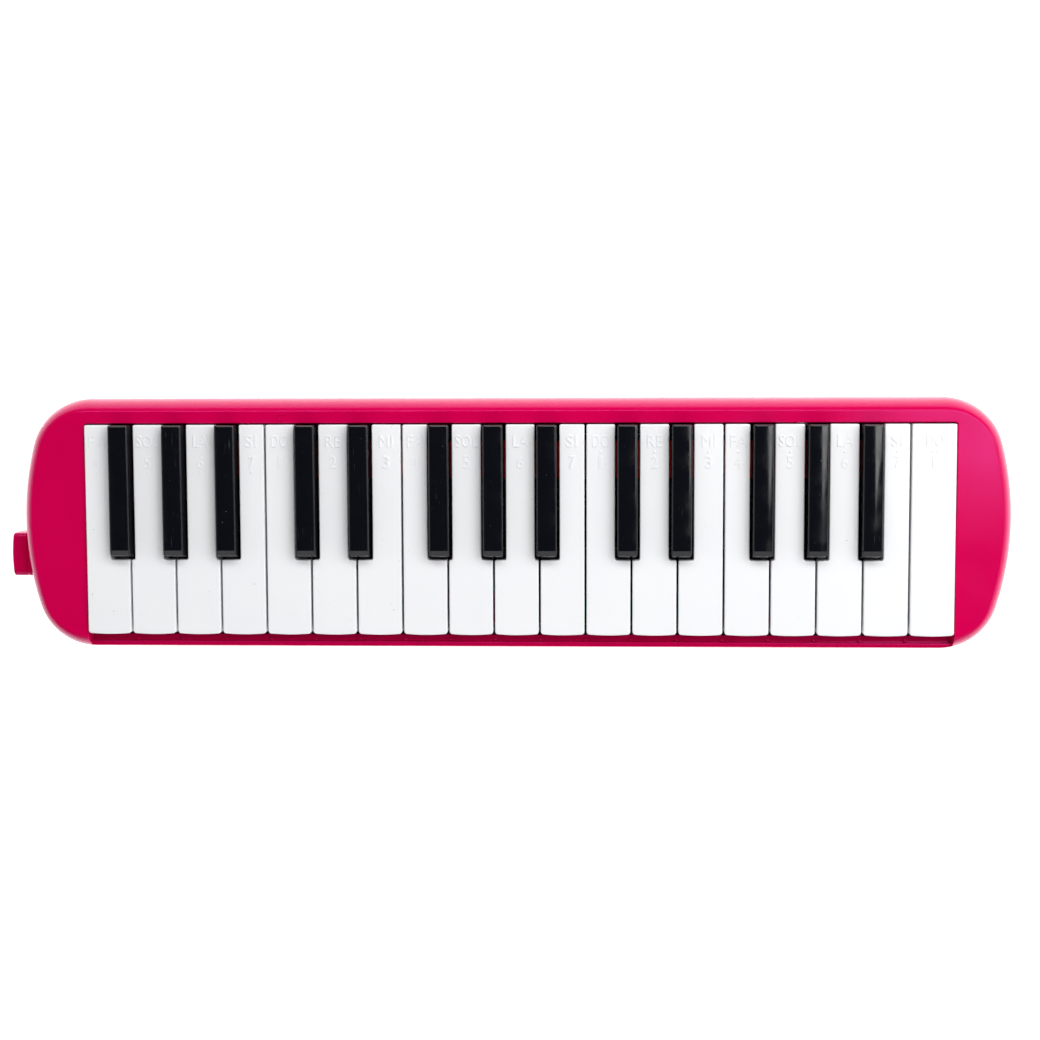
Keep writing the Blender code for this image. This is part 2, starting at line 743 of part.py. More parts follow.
def key_spring_comb(material):
    """One stamped leaf spring: a finger under each key's rib holds its front up."""
    left, right = KEYBOARD_LEFT, white_line(WHITE_COUNT)
    base = CHEST_TOP + GAP
    tip = PIVOT_Z + 1.4 - 0.8

    def strip(bm):
        add_box(bm, (left, -8.0, base), (right, -3.0, base + 0.5))

    def fingers(bm):
        profile = [(-4.4, base), (-3.4, base), (4.9, tip - 0.4), (4.9, tip)]
        for _, x in key_columns():
            add_bar(bm, profile, x - 1.2, x + 1.2)

    comb = piece("key_spring_comb", strip, material)
    combine(comb, "UNION", fingers, "fingers")


def felts(material):
    left, right = KEYBOARD_LEFT + 0.5, white_line(WHITE_COUNT) - 0.5

    def white_stop(bm):
        add_box(bm, (left, -48.6, 22.6), (right, -44.0, 24.3))

    def black_stop(bm):
        add_box(bm, (left, -16.0, CHEST_TOP + GAP), (right, -10.5, CHEST_TOP + 2.6))

    piece("white_key_felt", white_stop, material)
    piece("black_key_felt", black_stop, material)


# ---------------------------------------------------------------- socket and drain

def mouth_socket(material):
    end = -CASE_LENGTH / 2
    flange_left = end + 8.6
    nozzle_radius = 3.0

    def block(bm):
        socket_block(bm, 0.0, end - SOCKET_REACH, flange_left + 1.0)

    def inside(bm):
        """The flange behind the case's wall and the tube that runs on to the chamber."""
        low = (flange_left, SOCKET_Y - 10.6, SOCKET_Z - 5.4)
        add_box(bm, low, (flange_left + 2.2, SOCKET_Y + 10.6, SOCKET_Z + 7.9))
        tube = circle(SOCKET_Y, SOCKET_Z, 7.0, 12)
        add_bar(bm, tube, flange_left + 1.0, CHEST_LEFT - 6.0)

    def nozzle(bm):
        add_bar(bm, circle(SOCKET_Y, SOCKET_Z, nozzle_radius, 12), CHEST_LEFT - 8.0, CHEST_LEFT + 3.0)

    def bore(bm):
        """Wide where the mouthpiece or the tube's end goes in, narrow on to the chamber."""
        wide = circle(SOCKET_Y, SOCKET_Z, SOCKET_BORE, 16)
        add_bar(bm, wide, end - SOCKET_REACH - 5.0, flange_left + 8.0)

    def jet(bm):
        add_bar(bm, circle(SOCKET_Y, SOCKET_Z, 1.9, 12), flange_left, CHEST_LEFT + 8.0)

    socket = piece("mouth_socket", block, material, smooth=True)
    combine(socket, "UNION", inside, "inside")
    combine(socket, "UNION", nozzle, "nozzle")
    combine(socket, "DIFFERENCE", bore, "bore")
    combine(socket, "DIFFERENCE", jet, "jet")


def socket_seal(material):
    """The rubber ring between the socket's tube and the chamber's inlet wall."""
    def ring(bm):
        add_bar(bm, circle(SOCKET_Y, SOCKET_Z, 6.0, 14), CHEST_LEFT - 5.6, CHEST_LEFT - GAP)

    def hole(bm):
        add_bar(bm, circle(SOCKET_Y, SOCKET_Z, 3.4, 14), CHEST_LEFT - 9.0, CHEST_LEFT + 2.0)

    seal = piece("socket_seal", ring, material)
    combine(seal, "DIFFERENCE", hole, "hole")


def drain_valve(plastic, rubber, steel):
    """Pushing the button up lifts the seal off its seat, and moisture runs out round the stem."""
    place = (DRAIN_X, DRAIN_Y)
    origin = (DRAIN_X, DRAIN_Y, DRAIN_BUTTON_BOTTOM)

    def button(bm):
        head_top = DRAIN_BUTTON_BOTTOM + 1.9
        profile = (
            (4.4, DRAIN_BUTTON_BOTTOM),
            (5.0, DRAIN_BUTTON_BOTTOM + 0.5),
            (5.0, head_top),
            (1.1, head_top + 0.01),
            (1.1, DRAIN_SEAT + 1.8),
            (1.9, DRAIN_SEAT + 1.81),
            (1.4, DRAIN_SEAT + 2.6),
        )
        add_turned(bm, place, profile, 14)

    def seal(bm):
        low = DRAIN_SEAT + GAP
        add_turned(bm, place, ((3.6, low), (3.6, low + 1.2)), 14)

    def seal_hole(bm):
        add_turned(bm, place, ((1.4, DRAIN_SEAT - 1.0), (1.4, DRAIN_SEAT + 4.0)), 14)

    def cap(bm):
        low = DRAIN_BOSS_TOP
        profile = ((3.8, low - 0.9), (3.8, low + GAP), (6.2, low + GAP + 0.01), (6.2, low + 1.8))
        add_turned(bm, place, profile, 14)

    piece("drain_button", button, plastic, origin, smooth=True)
    ring = piece("drain_seal", seal, rubber, origin)
    combine(ring, "DIFFERENCE", seal_hole, "hole", origin)
    piece("drain_cap", cap, plastic)
    drain_spring(steel)


def drain_spring(steel):
    """A steel coil between the seal and the cap."""
    low, high = DRAIN_SEAT + 2.2, DRAIN_BOSS_TOP - 1.6
    radius, wire, turns, steps = 2.9, 0.3, 5, 10
    curve = bpy.data.curves.new("drain_spring", "CURVE")
    curve.dimensions = "3D"
    curve.bevel_depth = wire * MM
    curve.bevel_resolution = 0
    curve.use_fill_caps = True
    spline = curve.splines.new("POLY")
    spline.points.add(turns * steps)
    for k, point in enumerate(spline.points):
        angle = 2 * math.pi * k / steps
        z = low + (high - low) * k / (turns * steps)
        place = (DRAIN_X + radius * math.cos(angle), DRAIN_Y + radius * math.sin(angle), z)
        point.co = (*[value * MM for value in place], 1.0)
    made = bpy.data.objects.new("drain_spring", curve)
    bpy.context.scene.collection.objects.link(made)
    made.data.materials.append(steel)
    made.parent = bpy.data.objects["melodica"]


# ---------------------------------------------------------------- screws

def add_screw(bm, x, y, bearing, tip, upwards):
    """A pan-head screw whose head bears at one height and whose point is at another."""
    way = 1.0 if upwards else -1.0
    profile = [
        (2.2, bearing - 2.0 * way),
        (3.0, bearing - 1.3 * way),
        (3.0, bearing),
        (1.2, bearing + 0.01 * way),
        (1.2, tip - 1.5 * way),
        (0.3, tip),
    ]
    add_turned(bm, (x, y), profile if upwards else profile[::-1], 8)


def screws(steel):
    for number, (x, y) in enumerate(CASE_SCREWS, 1):
        piece(
            f"case_screw_{number}",
            lambda bm: add_screw(bm, x, y, 4.3, 20.0, True),
            steel,
            (x, y, 4.3),
            smooth=True,
        )
    for number, (x, y, _) in enumerate(ear_places(), 1):
        top = CHEST_BOTTOM + 3.3 + GAP

        def fill(bm):
            add_screw(bm, x, y, top, 6.2, False)

        piece(f"chest_screw_{number}", fill, steel, (x, y, top), smooth=True)


def main():
    clear_scene()
    holder = bpy.data.objects.new("melodica", None)
    bpy.context.scene.collection.objects.link(holder)
    holder.location = (CASE_X * MM, 0.0, 0.0)

    pink = plain_material("case_pink", (0.78, 0.003, 0.10), 0.25)
    ivory = plain_material("key_white", (0.90, 0.90, 0.92), 0.2)
    ebony = plain_material("key_black", (0.01, 0.01, 0.012), 0.15)
    black = plain_material("chest_black", (0.02, 0.02, 0.022), 0.45)
    red = plain_material("gasket_red", (0.45, 0.01, 0.01), 0.8)
    brass = plain_material("brass", (0.75, 0.55, 0.22), 0.3, 1.0)
    steel = plain_material("steel", (0.6, 0.6, 0.62), 0.3, 1.0)
    rubber = plain_material("rubber", (0.03, 0.03, 0.03), 0.8)
    felt = plain_material("felt", (0.25, 0.02, 0.03), 0.95)

    upper_case(pink)
    lower_case(pink)
    make_keys(ivory, ebony)
    wind_chest(black)
    pallet_gasket(red)
    reed_plate("reed_plate_bass", 0, 15, brass)
    reed_plate("reed_plate_treble", 16, 31, brass)
    chamber_gasket(rubber)
    chamber_tray(black)
    key_axle(steel)
    pivot_rail(black)
    key_spring_comb(steel)
    felts(felt)
    mouth_socket(pink)
    socket_seal(rubber)
    drain_valve(pink, rubber, steel)
    screws(steel)


main()
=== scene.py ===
"""The looks of a 32-key melodica with a hot-pink case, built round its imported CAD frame.

Lengths below are in millimetres unless a comment says otherwise, in the frame's own axes:
X runs along the keyboard towards the high notes, Y towards the rear, Z up. Places come from
the CAD nodes' boxes, and every key's piece rides on that key's body.
"""

import math

import bmesh
import bpy
from mathutils import Euler, Matrix, Vector


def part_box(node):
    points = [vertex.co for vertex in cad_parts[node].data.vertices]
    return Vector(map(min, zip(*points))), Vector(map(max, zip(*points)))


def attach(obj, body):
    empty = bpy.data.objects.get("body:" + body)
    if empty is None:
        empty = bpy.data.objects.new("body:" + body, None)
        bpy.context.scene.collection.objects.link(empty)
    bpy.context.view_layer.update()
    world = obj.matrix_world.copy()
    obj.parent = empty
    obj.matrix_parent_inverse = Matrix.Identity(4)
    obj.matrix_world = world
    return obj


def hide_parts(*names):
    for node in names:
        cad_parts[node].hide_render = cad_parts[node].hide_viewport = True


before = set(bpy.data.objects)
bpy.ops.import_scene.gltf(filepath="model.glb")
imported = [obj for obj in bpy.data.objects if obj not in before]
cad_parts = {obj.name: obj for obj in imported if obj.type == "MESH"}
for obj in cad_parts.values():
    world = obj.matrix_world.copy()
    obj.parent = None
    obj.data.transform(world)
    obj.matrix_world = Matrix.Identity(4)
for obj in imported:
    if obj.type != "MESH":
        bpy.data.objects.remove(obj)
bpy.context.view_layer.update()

MM = 0.001
SQUARE = ((-1, -1), (1, -1), (1, 1), (-1, 1))


def node_box(node):
    """A CAD node's lowest and highest corners in millimetres."""
    low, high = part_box(node)
    return [value / MM for value in low], [value / MM for value in high]


def node_middle(node):
    """The middle of a CAD node's box, from above."""
    low, high = node_box(node)
    return (low[0] + high[0]) / 2, (low[1] + high[1]) / 2


# Case, as in the CAD
CASE_LOW, CASE_HIGH = node_box("lower_case")
CASE_X = (CASE_LOW[0] + CASE_HIGH[0]) / 2
CASE_HALF = (CASE_HIGH[0] - CASE_LOW[0]) / 2
CASE_FRONT = CASE_LOW[1]
CASE_REAR = CASE_HIGH[1]
END_RADIUS = 126.0
END_CENTRE_Y = 2.0
CORNER_RADIUS = 26.0
PLATEAU = node_box("upper_case")[1][2]
PARTING = 20.0
PARTING_GAP = 0.3
PARTING_ROUND = 0.35
FLANK_START = 22.0          # the outside is upright up to here
FLANK_WIDTH = 5.3
FLANK_END_ANGLE = 15.0      # degrees left of the flank's quarter ellipse at the crease
CREASE_RADIUS = 0.9
EDGE_RADIUS = 0.45          # along the keyboard opening
LIP_TOP = 30.0
LIP_INNER = CASE_FRONT + 3.1
WINDOW_CORNER = 1.0
RIM_BOTTOM = 26.6           # the opening's walls run down to here
LEDGE = (20.3, 22.3)
STEP_TOP = 26.8             # the shelf's step just behind the lip
UNDERSIDE = 1.5
CASE_WALL = 2.2
LIP_ROWS = 12               # the flank's rows that lie below the lip's top

# Mouthpiece socket
SOCKET_Y = -14.5
SOCKET_Z = 11.6
SOCKET_HALF = (9.5, 7.2)
SOCKET_CORNER = 2.2

# Keys
WHITE_RADIUS = 0.55         # along a white key's top edges
WHITE_FRONT_CORNER = 1.15
WHITE_REAR_CORNER = 0.7
WHITE_BOW = 0.45            # how far a white key's front edge bows out
WHITE_SKIRT = 31.0
WHITE_FRONT_SKIRT = 28.5
SKIRT_STEP = -43.4
KEY_WALL = 1.5
NOTCH_WIDTH = 10.5
NOTCH_FRONT = -14.7
BLACK_WIDTH = 8.4
BLACK_TOP_WIDTH = 7.2       # between the rounded edges
BLACK_SKIRT = 31.2
BLACK_CROWN = 0.22
BLACK_RADIUS = 0.6
BLACK_CREASE_Y = -10.1      # where the flat top turns down to the front
BLACK_NOSE_Y = -12.5
BLACK_NOSE_DROP = 0.9
PIVOT_Y = 12.0
PIVOT_Z = 29.2
PALLET_Y = (20.8, 34.0)
PALLET_Z = 28.1
PALLET_HALF = 3.8
LABEL_RISE = 0.28

WHITE_KEYS = sorted((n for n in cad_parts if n.startswith("white_key_") and n[-1].isdigit()),
                    key=lambda n: node_box(n)[0][0])
BLACK_KEYS = sorted((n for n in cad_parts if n.startswith("black_key_") and n[-1].isdigit()),
                    key=lambda n: node_box(n)[0][0])
WHITE_BOXES = [node_box(n) for n in WHITE_KEYS]
BLACK_CENTRES = [node_middle(n)[0] for n in BLACK_KEYS]
KEY_TOP = WHITE_BOXES[0][1][2]
KEY_REAR = WHITE_BOXES[0][1][1]
KEY_FRONT = WHITE_BOXES[0][0][1]
WINDOW_LEFT = WHITE_BOXES[0][0][0] - 0.55
WINDOW_RIGHT = WHITE_BOXES[-1][1][0] + 0.55
WINDOW_REAR = KEY_REAR + 0.6


# ---------------------------------------------------------------- mesh helpers

class Shape:
    """A mesh in the making, in millimetres, where points at one place share a vertex."""

    def __init__(self):
        self.bm = bmesh.new()
        self.known = {}

    def vertex(self, point):
        key = tuple(round(value, 3) for value in point)
        if key not in self.known:
            self.known[key] = self.bm.verts.new(point)
        return self.known[key]

    def face(self, points):
        corners = []
        for point in points:
            corner = self.vertex(point)
            if corner not in corners:
                corners.append(corner)
        if len(corners) > 2 and self.bm.faces.get(corners) is None:
            self.bm.faces.new(corners)

    def grid(self, rows, closed=False):
        """Quads between neighbouring rows of points, each row closed into a ring if asked."""
        for low, high in zip(rows, rows[1:]):
            count = len(low)
            for k in range(count if closed else count - 1):
                after = (k + 1) % count
                self.face((low[k], low[after], high[after], high[k]))

    def zipped(self, first, second):
        """Triangles between two lines of points that run the same way."""
        i = j = 0
        while i < len(first) - 1 or j < len(second) - 1:
            if j == len(second) - 1:
                ahead = True
            elif i == len(first) - 1:
                ahead = False
            else:
                ahead = math.dist(first[i + 1], second[j]) < math.dist(first[i], second[j + 1])
            if ahead:
                self.face((first[i], first[i + 1], second[j]))
                i += 1
            else:
                self.face((first[i], second[j + 1], second[j]))
                j += 1

    def loft(self, rows):
        """A closed solid through rings of points."""
        self.grid(rows, closed=True)
        self.face(rows[0])
        self.face(rows[-1])

    def turned(self, centre, profile, count=28):
        """A solid turned about an upright line; profile lists (radius, height)."""
        rows = []
        for radius, place in profile:
            ring = circle(0.0, 0.0, radius, count)
            rows.append([(centre[0] + a, centre[1] + b, place) for a, b in ring])
        self.loft(rows)

    def bar(self, profile, left, right):
        """A side view in Y and Z, run from left to right."""
        self.loft([[(x, y, z) for y, z in profile] for x in (left, right)])

    def add(self, mesh):
        self.known = {}
        self.bm.from_mesh(mesh)

    def finish(self, name, material, body=None, replaces=(), slot=None, sharp=42.0):
        """The piece in metres, smooth but for its sharp edges, riding on its body."""
        bmesh.ops.recalc_face_normals(self.bm, faces=self.bm.faces)
        bmesh.ops.scale(self.bm, verts=self.bm.verts, vec=(MM, MM, MM))
        mesh = bpy.data.meshes.new(name)
        self.bm.to_mesh(mesh)
        self.bm.free()
        made = bpy.data.objects.new(name, mesh)
        bpy.context.scene.collection.objects.link(made)
        mesh.materials.append(material)
        settle(made, sharp)
        if body is not None:
            place_piece(made, body, replaces)
        return made


def settle(made, sharp=42.0):
    """Smooth shading with its normals kept flat on the large faces."""
    made.data.shade_smooth()
    made.data.set_sharp_from_angle(angle=math.radians(sharp))
    weighted = made.modifiers.new("weighted", "WEIGHTED_NORMAL")
    weighted.keep_sharp = True
    weighted.weight = 80


def finish_cut(made, material, sharp, node):
    """One clean material and fresh shading after a piece was cut, and its place on the case."""
    made.data.materials.clear()
    made.data.materials.append(material)
    settle(made, sharp)
    place_piece(made, "case", (node,))


def place_piece(made, body, replaces=()):
    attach(made, body)
    if replaces:
        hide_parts(*replaces)


def circle(x, y, radius, count):
    turn = 2 * math.pi / count
    return [(x + radius * math.cos(turn * k), y + radius * math.sin(turn * k)) for k in range(count)]


def inset_corners(corners, distance):
    """Corners (x, y, radius) of a counter-clockwise outline, moved in by a distance."""
    moved = []
    count = len(corners)
    for k, (x, y, radius) in enumerate(corners):
        before = Vector(corners[k - 1][:2])
        here = Vector((x, y))
        after = Vector(corners[(k + 1) % count][:2])
        first = (here - before).normalized()
        second = (after - here).normalized()
        turn = first.x * second.y - first.y * second.x
        first_in = Vector((-first.y, first.x))
        second_in = Vector((-second.y, second.x))
        if abs(turn) < 1e-6:
            shift = first_in * distance
            moved.append((x + shift.x, y + shift.y, 0.0))
            continue
        share = distance / (1 + first_in.dot(second_in))
        shift = (first_in + second_in) * share
        radius = radius - distance if turn > 0 else radius + distance
        moved.append((x + shift.x, y + shift.y, max(radius, 0.03)))
    return moved


def box_corners(x, y, half_x, half_y, radius):
    return [(x + a * half_x, y + b * half_y, radius) for a, b in SQUARE]


def rounded(corners, steps=5):
    """Points of an outline whose corners (x, y, radius) are rounded; radius 0 keeps a point."""
    points = []
    count = len(corners)
    for k, (x, y, radius) in enumerate(corners):
        here = Vector((x, y))
        before = Vector(corners[k - 1][:2])
        after = Vector(corners[(k + 1) % count][:2])
        if radius <= 0.0:
            points.append((x, y))
            continue
        first = (here - before).normalized()
        second = (after - here).normalized()
        angle = math.atan2(first.x * second.y - first.y * second.x, first.dot(second))
        reach = radius * math.tan(abs(angle) / 2)
        room = 0.49 * min((here - before).length, (after - here).length)
        if reach > room:
            radius *= room / reach
            reach = room
        side = 1.0 if angle > 0 else -1.0
        start = here - first * reach
        centre = start + Vector((-first.y, first.x)) * side * radius
        arm = start - centre
        for step in range(steps + 1):
            turn = angle * step / steps
            cosine, sine = math.cos(turn), math.sin(turn)
            points.append(
                (
                    centre.x + arm.x * cosine - arm.y * sine,
                    centre.y + arm.x * sine + arm.y * cosine,
                )
            )
    return points


def quarter(radius, steps=4):
    """A rounded edge's rows from the side up to the top: (inset, drop below the top)."""
    rows = []
    for step in range(steps + 1):
        angle = math.radians(90) * step / steps
        rows.append((radius * (1 - math.cos(angle)), radius * (1 - math.sin(angle))))
    return rows


def evaluated(made):
    """An object's mesh as its modifiers or its curve make it."""
    graph = bpy.context.evaluated_depsgraph_get()
    graph.update()
    return bpy.data.meshes.new_from_object(made.evaluated_get(graph))


def cut(made, cutter):
    """Cuts a helper object from a piece for good, and removes the helper."""
    modifier = made.modifiers.new("cut", "BOOLEAN")
    modifier.operation = "DIFFERENCE"
    modifier.solver = "EXACT"
    modifier.use_self = True
    modifier.object = cutter
    mesh = evaluated(made)
    made.modifiers.clear()
    made.data = mesh
    bpy.data.objects.remove(cutter)


def text_mesh(words, height, width, centre, z):
    """Raised characters as a mesh in millimetres: their size, middle, and the face they stand on."""
    curve = bpy.data.curves.new("label", "FONT")
    curve.body = words
    curve.align_x = "CENTER"
    curve.size = 1.0
    curve.space_character = 1.08
    curve.resolution_u = 5
    helper = bpy.data.objects.new("label", curve)
    bpy.context.scene.collection.objects.link(helper)
    flat = evaluated(helper)
    low = min(v.co.y for v in flat.vertices)
    high = max(v.co.y for v in flat.vertices)
    scale = height / (high - low)
    span = max(v.co.x for v in flat.vertices) - min(v.co.x for v in flat.vertices)
    stretch = width / (span * scale)
    curve.extrude = (LABEL_RISE + 0.1) / 2 / scale
    curve.bevel_depth = 0.04 / scale
    curve.bevel_resolution = 1
    mesh = evaluated(helper)
    bpy.data.objects.remove(helper)
    middle = (high + low) / 2
    mesh.transform(Matrix.Translation((0.0, -middle, 0.0)))
    mesh.transform(Matrix.Diagonal((scale * stretch, scale, scale, 1.0)))
    rise = z + (LABEL_RISE - 0.1) / 2
    mesh.transform(Matrix.Translation((centre[0], centre[1], rise)))
    return mesh


# ---------------------------------------------------------------- materials

class Finish:
    """The nodes of a material or world in the making, with short ways to add to them."""

    def __init__(self, owner):
        owner.use_nodes = True
        self.owner = owner
        self.nodes = owner.node_tree.nodes
        self.links = owner.node_tree.links

    def set(self, socket, value):
        """Gives a socket of the Principled shader a number, a colour or another node's output."""
        target = self.nodes["Principled BSDF"].inputs[socket]
        if isinstance(value, bpy.types.NodeSocket):
            self.links.new(value, target)
        elif isinstance(value, tuple):
            target.default_value = (*value, 1.0)
        else:
            target.default_value = value

    def noise(self, scale, detail=3.0, stretch=(1.0, 1.0, 1.0), turn=0.0):
        """Noise in the piece's own coordinates in metres, stretched, and turned about Z."""
        place = self.nodes.new("ShaderNodeTexCoord")
        mapping = self.nodes.new("ShaderNodeMapping")
        mapping.inputs["Scale"].default_value = stretch
        mapping.inputs["Rotation"].default_value = (0.0, 0.0, math.radians(turn))
        self.links.new(place.outputs["Object"], mapping.inputs["Vector"])
        texture = self.nodes.new("ShaderNodeTexNoise")
        texture.inputs["Scale"].default_value = scale
        texture.inputs["Detail"].default_value = detail
        self.links.new(mapping.outputs["Vector"], texture.inputs["Vector"])
        return texture.outputs["Fac"]

    def ranged(self, value, low, high, out_low=0.0, out_high=1.0):
        """A value's range mapped to another, and held within it."""
        node = self.nodes.new("ShaderNodeMapRange")
        for socket, number in zip(("From Min", "From Max", "To Min", "To Max"),
                                  (low, high, out_low, out_high)):
            node.inputs[socket].default_value = number
        self.links.new(value, node.inputs["Value"])
        return node.outputs["Result"]

    def blended(self, share, first, second):
        """A colour between two colours; either may be a colour or another node's output."""
        node = self.nodes.new("ShaderNodeMix")
        node.data_type = "RGBA"
        self.links.new(share, node.inputs["Factor"])
        for name, colour in (("A", first), ("B", second)):
            socket = next(s for s in node.inputs if s.name == name and s.type == "RGBA")
            if isinstance(colour, tuple):
                socket.default_value = (*colour, 1.0)
            else:
                self.links.new(colour, socket)
        return next(s for s in node.outputs if s.type == "RGBA")

    def joined(self, first, second, operation="MAXIMUM"):
        node = self.nodes.new("ShaderNodeMath")
        node.operation = operation
        self.links.new(first, node.inputs[0])
        self.links.new(second, node.inputs[1])
        return node.outputs["Value"]

    def bump(self, height, strength, distance):
        """Raises the surface by a height map; distance is in metres."""
        node = self.nodes.new("ShaderNodeBump")
        node.inputs["Strength"].default_value = strength
        node.inputs["Distance"].default_value = distance
        self.links.new(height, node.inputs["Height"])
        self.set("Normal", node.outputs["Normal"])

    def scratches(self, turn, scale, low, high):
        """Long thin marks that lie one way."""
        return self.ranged(self.noise(scale, 2.0, (9.0, 0.35, 1.0), turn), low, high)


def pink_plastic():
    """Glossy moulded plastic with a faint orange peel and handling marks."""
    finish = Finish(bpy.data.materials.new("glossy_pink_plastic"))
    share = finish.ranged(finish.noise(14.0), 0.3, 0.7)
    finish.set("Base Color", finish.blended(share, (0.62, 0.0003, 0.072), (0.65, 0.0004, 0.076)))
    smudge = finish.ranged(finish.noise(55.0, 4.0), 0.35, 0.7, 0.13, 0.22)
    wear = finish.ranged(finish.scratches(24.0, 300.0, 0.72, 0.78), 0.0, 1.0, 0.0, 0.34)
    finish.set("Roughness", finish.joined(smudge, wear))
    finish.set("IOR", 1.49)
    finish.set("Specular Tint", (1.0, 0.25, 1.0))
    finish.bump(finish.noise(700.0, 2.0), 0.06, 0.00004)
    return finish.owner


def white_plastic():
    """The white keys' glossy plastic, barely uneven, with a few specks of dust."""
    finish = Finish(bpy.data.materials.new("key_white_plastic"))
    share = finish.ranged(finish.noise(30.0), 0.35, 0.65)
    base = finish.blended(share, (0.93, 0.935, 0.955), (0.945, 0.95, 0.965))
    speck = finish.ranged(finish.noise(900.0, 1.0), 0.80, 0.83)
    finish.set("Base Color", finish.blended(speck, base, (0.45, 0.45, 0.47)))
    finish.set("Roughness", finish.ranged(finish.noise(70.0, 4.0), 0.25, 0.8, 0.19, 0.23))
    finish.bump(finish.noise(1400.0, 2.0), 0.08, 0.00003)
    return finish.owner


def black_plastic():
    """The black keys' polished plastic, with faint scratches, scuffs and dust."""
    finish = Finish(bpy.data.materials.new("key_black_plastic"))
    marks = finish.joined(
        finish.scratches(32.0, 330.0, 0.68, 0.73),
        finish.scratches(-41.0, 260.0, 0.70, 0.75),
    )
    patch = finish.ranged(finish.noise(90.0, 4.0), 0.55, 0.72)
    marks = finish.joined(marks, patch, "MULTIPLY")
    dust = finish.ranged(finish.noise(1300.0, 1.0), 0.79, 0.82)
    worn = finish.blended(marks, (0.0045, 0.005, 0.0075), (0.06, 0.06, 0.07))
    finish.set("Base Color", finish.blended(dust, worn, (0.16, 0.16, 0.17)))
    smudge = finish.ranged(finish.noise(120.0, 4.0), 0.4, 0.75, 0.07, 0.2)
    finish.set("Roughness", finish.joined(smudge, finish.ranged(marks, 0.0, 1.0, 0.0, 0.45)))
    finish.set("IOR", 1.52)
    finish.bump(finish.noise(500.0, 2.0), 0.05, 0.00003)
    return finish.owner


def satin_black():
    """Black moulded plastic with a fine spark-eroded texture."""
    finish = Finish(bpy.data.materials.new("satin_black_plastic"))
    share = finish.ranged(finish.noise(40.0, 4.0), 0.3, 0.7)
    finish.set("Base Color", finish.blended(share, (0.006, 0.006, 0.007), (0.012, 0.012, 0.013)))
    grain = finish.noise(2600.0)
    finish.set("Roughness", finish.ranged(grain, 0.3, 0.7, 0.42, 0.62))
    finish.bump(grain, 0.35, 0.00008)
    return finish.owner


def felt(name, dark, light, fibre, roughness, sheen, relief):
    """A matt, fibrous strip; fibre is its scale, detail and stretch, relief its bump."""
    finish = Finish(bpy.data.materials.new(name))
    strands = finish.noise(*fibre)
    share = finish.ranged(strands, 0.3, 0.7)
    finish.set("Base Color", finish.blended(share, dark, light))
    finish.set("Roughness", finish.ranged(strands, 0.3, 0.7, *roughness))
    finish.set("Sheen Weight", sheen)
    finish.bump(strands, *relief)
    return finish.owner


def metal(name, dark, light, roughness, stretch):
    """A brushed or drawn metal whose grain runs along one axis."""
    finish = Finish(bpy.data.materials.new(name))
    grain = finish.noise(1500.0, 4.0, stretch)
    share = finish.ranged(grain, 0.3, 0.7)
    finish.set("Base Color", finish.blended(share, dark, light))
    finish.set("Roughness", finish.ranged(grain, 0.3, 0.7, *roughness))
    finish.set("Metallic", 1.0)
    finish.bump(grain, 0.15, 0.00003)
    return finish.owner


def rubber():
    finish = Finish(bpy.data.materials.new("black_rubber"))
    bloom = finish.noise(160.0, 4.0)
    share = finish.ranged(bloom, 0.4, 0.7)
    finish.set("Base Color", finish.blended(share, (0.010, 0.010, 0.010), (0.028, 0.028, 0.027)))
    finish.set("Roughness", finish.ranged(bloom, 0.3, 0.7, 0.6, 0.8))
    finish.bump(finish.noise(2000.0), 0.2, 0.00005)
    return finish.owner


def floor_paper():
    """The pale studio floor, lit from beneath, with a hardly visible grain."""
    finish = Finish(bpy.data.materials.new("studio_paper"))
    share = finish.ranged(finish.noise(300.0, 4.0), 0.3, 0.7)
    finish.set("Base Color", finish.blended(share, (0.86, 0.86, 0.86), (0.89, 0.89, 0.89)))
    finish.set("Roughness", finish.ranged(share, 0.0, 1.0, 0.85, 0.95))
    finish.set("Emission Color", (1.0, 1.0, 1.0))
    finish.set("Emission Strength", 0.85)
    return finish.owner


PINK = pink_plastic()
WHITE = white_plastic()
BLACK = black_plastic()
CHEST_BLACK = satin_black()
GASKET = felt("red_gasket_felt", (0.70, 0.006, 0.006), (0.92, 0.015, 0.012),
              (1800.0, 5.0, (1.0, 3.0, 1.0)), (0.75, 0.95), 0.25, (0.5, 0.0002))
FELT = felt("stop_felt", (0.02, 0.003, 0.004), (0.06, 0.008, 0.012),
            (2400.0, 6.0, (1.0, 0.4, 1.0)), (0.85, 1.0), 0.4, (0.8, 0.0003))
DARK_STEEL = metal("blued_steel", (0.010, 0.010, 0.013), (0.022, 0.022, 0.028), (0.35, 0.5), (8, 1, 1))
STEEL = metal("zinc_plated_steel", (0.50, 0.50, 0.52), (0.66, 0.66, 0.68), (0.22, 0.36), (1, 1, 6))
BRASS = metal("brushed_brass", (0.62, 0.42, 0.14), (0.76, 0.55, 0.22), (0.22, 0.36), (1, 9, 1))
RUBBER = rubber()


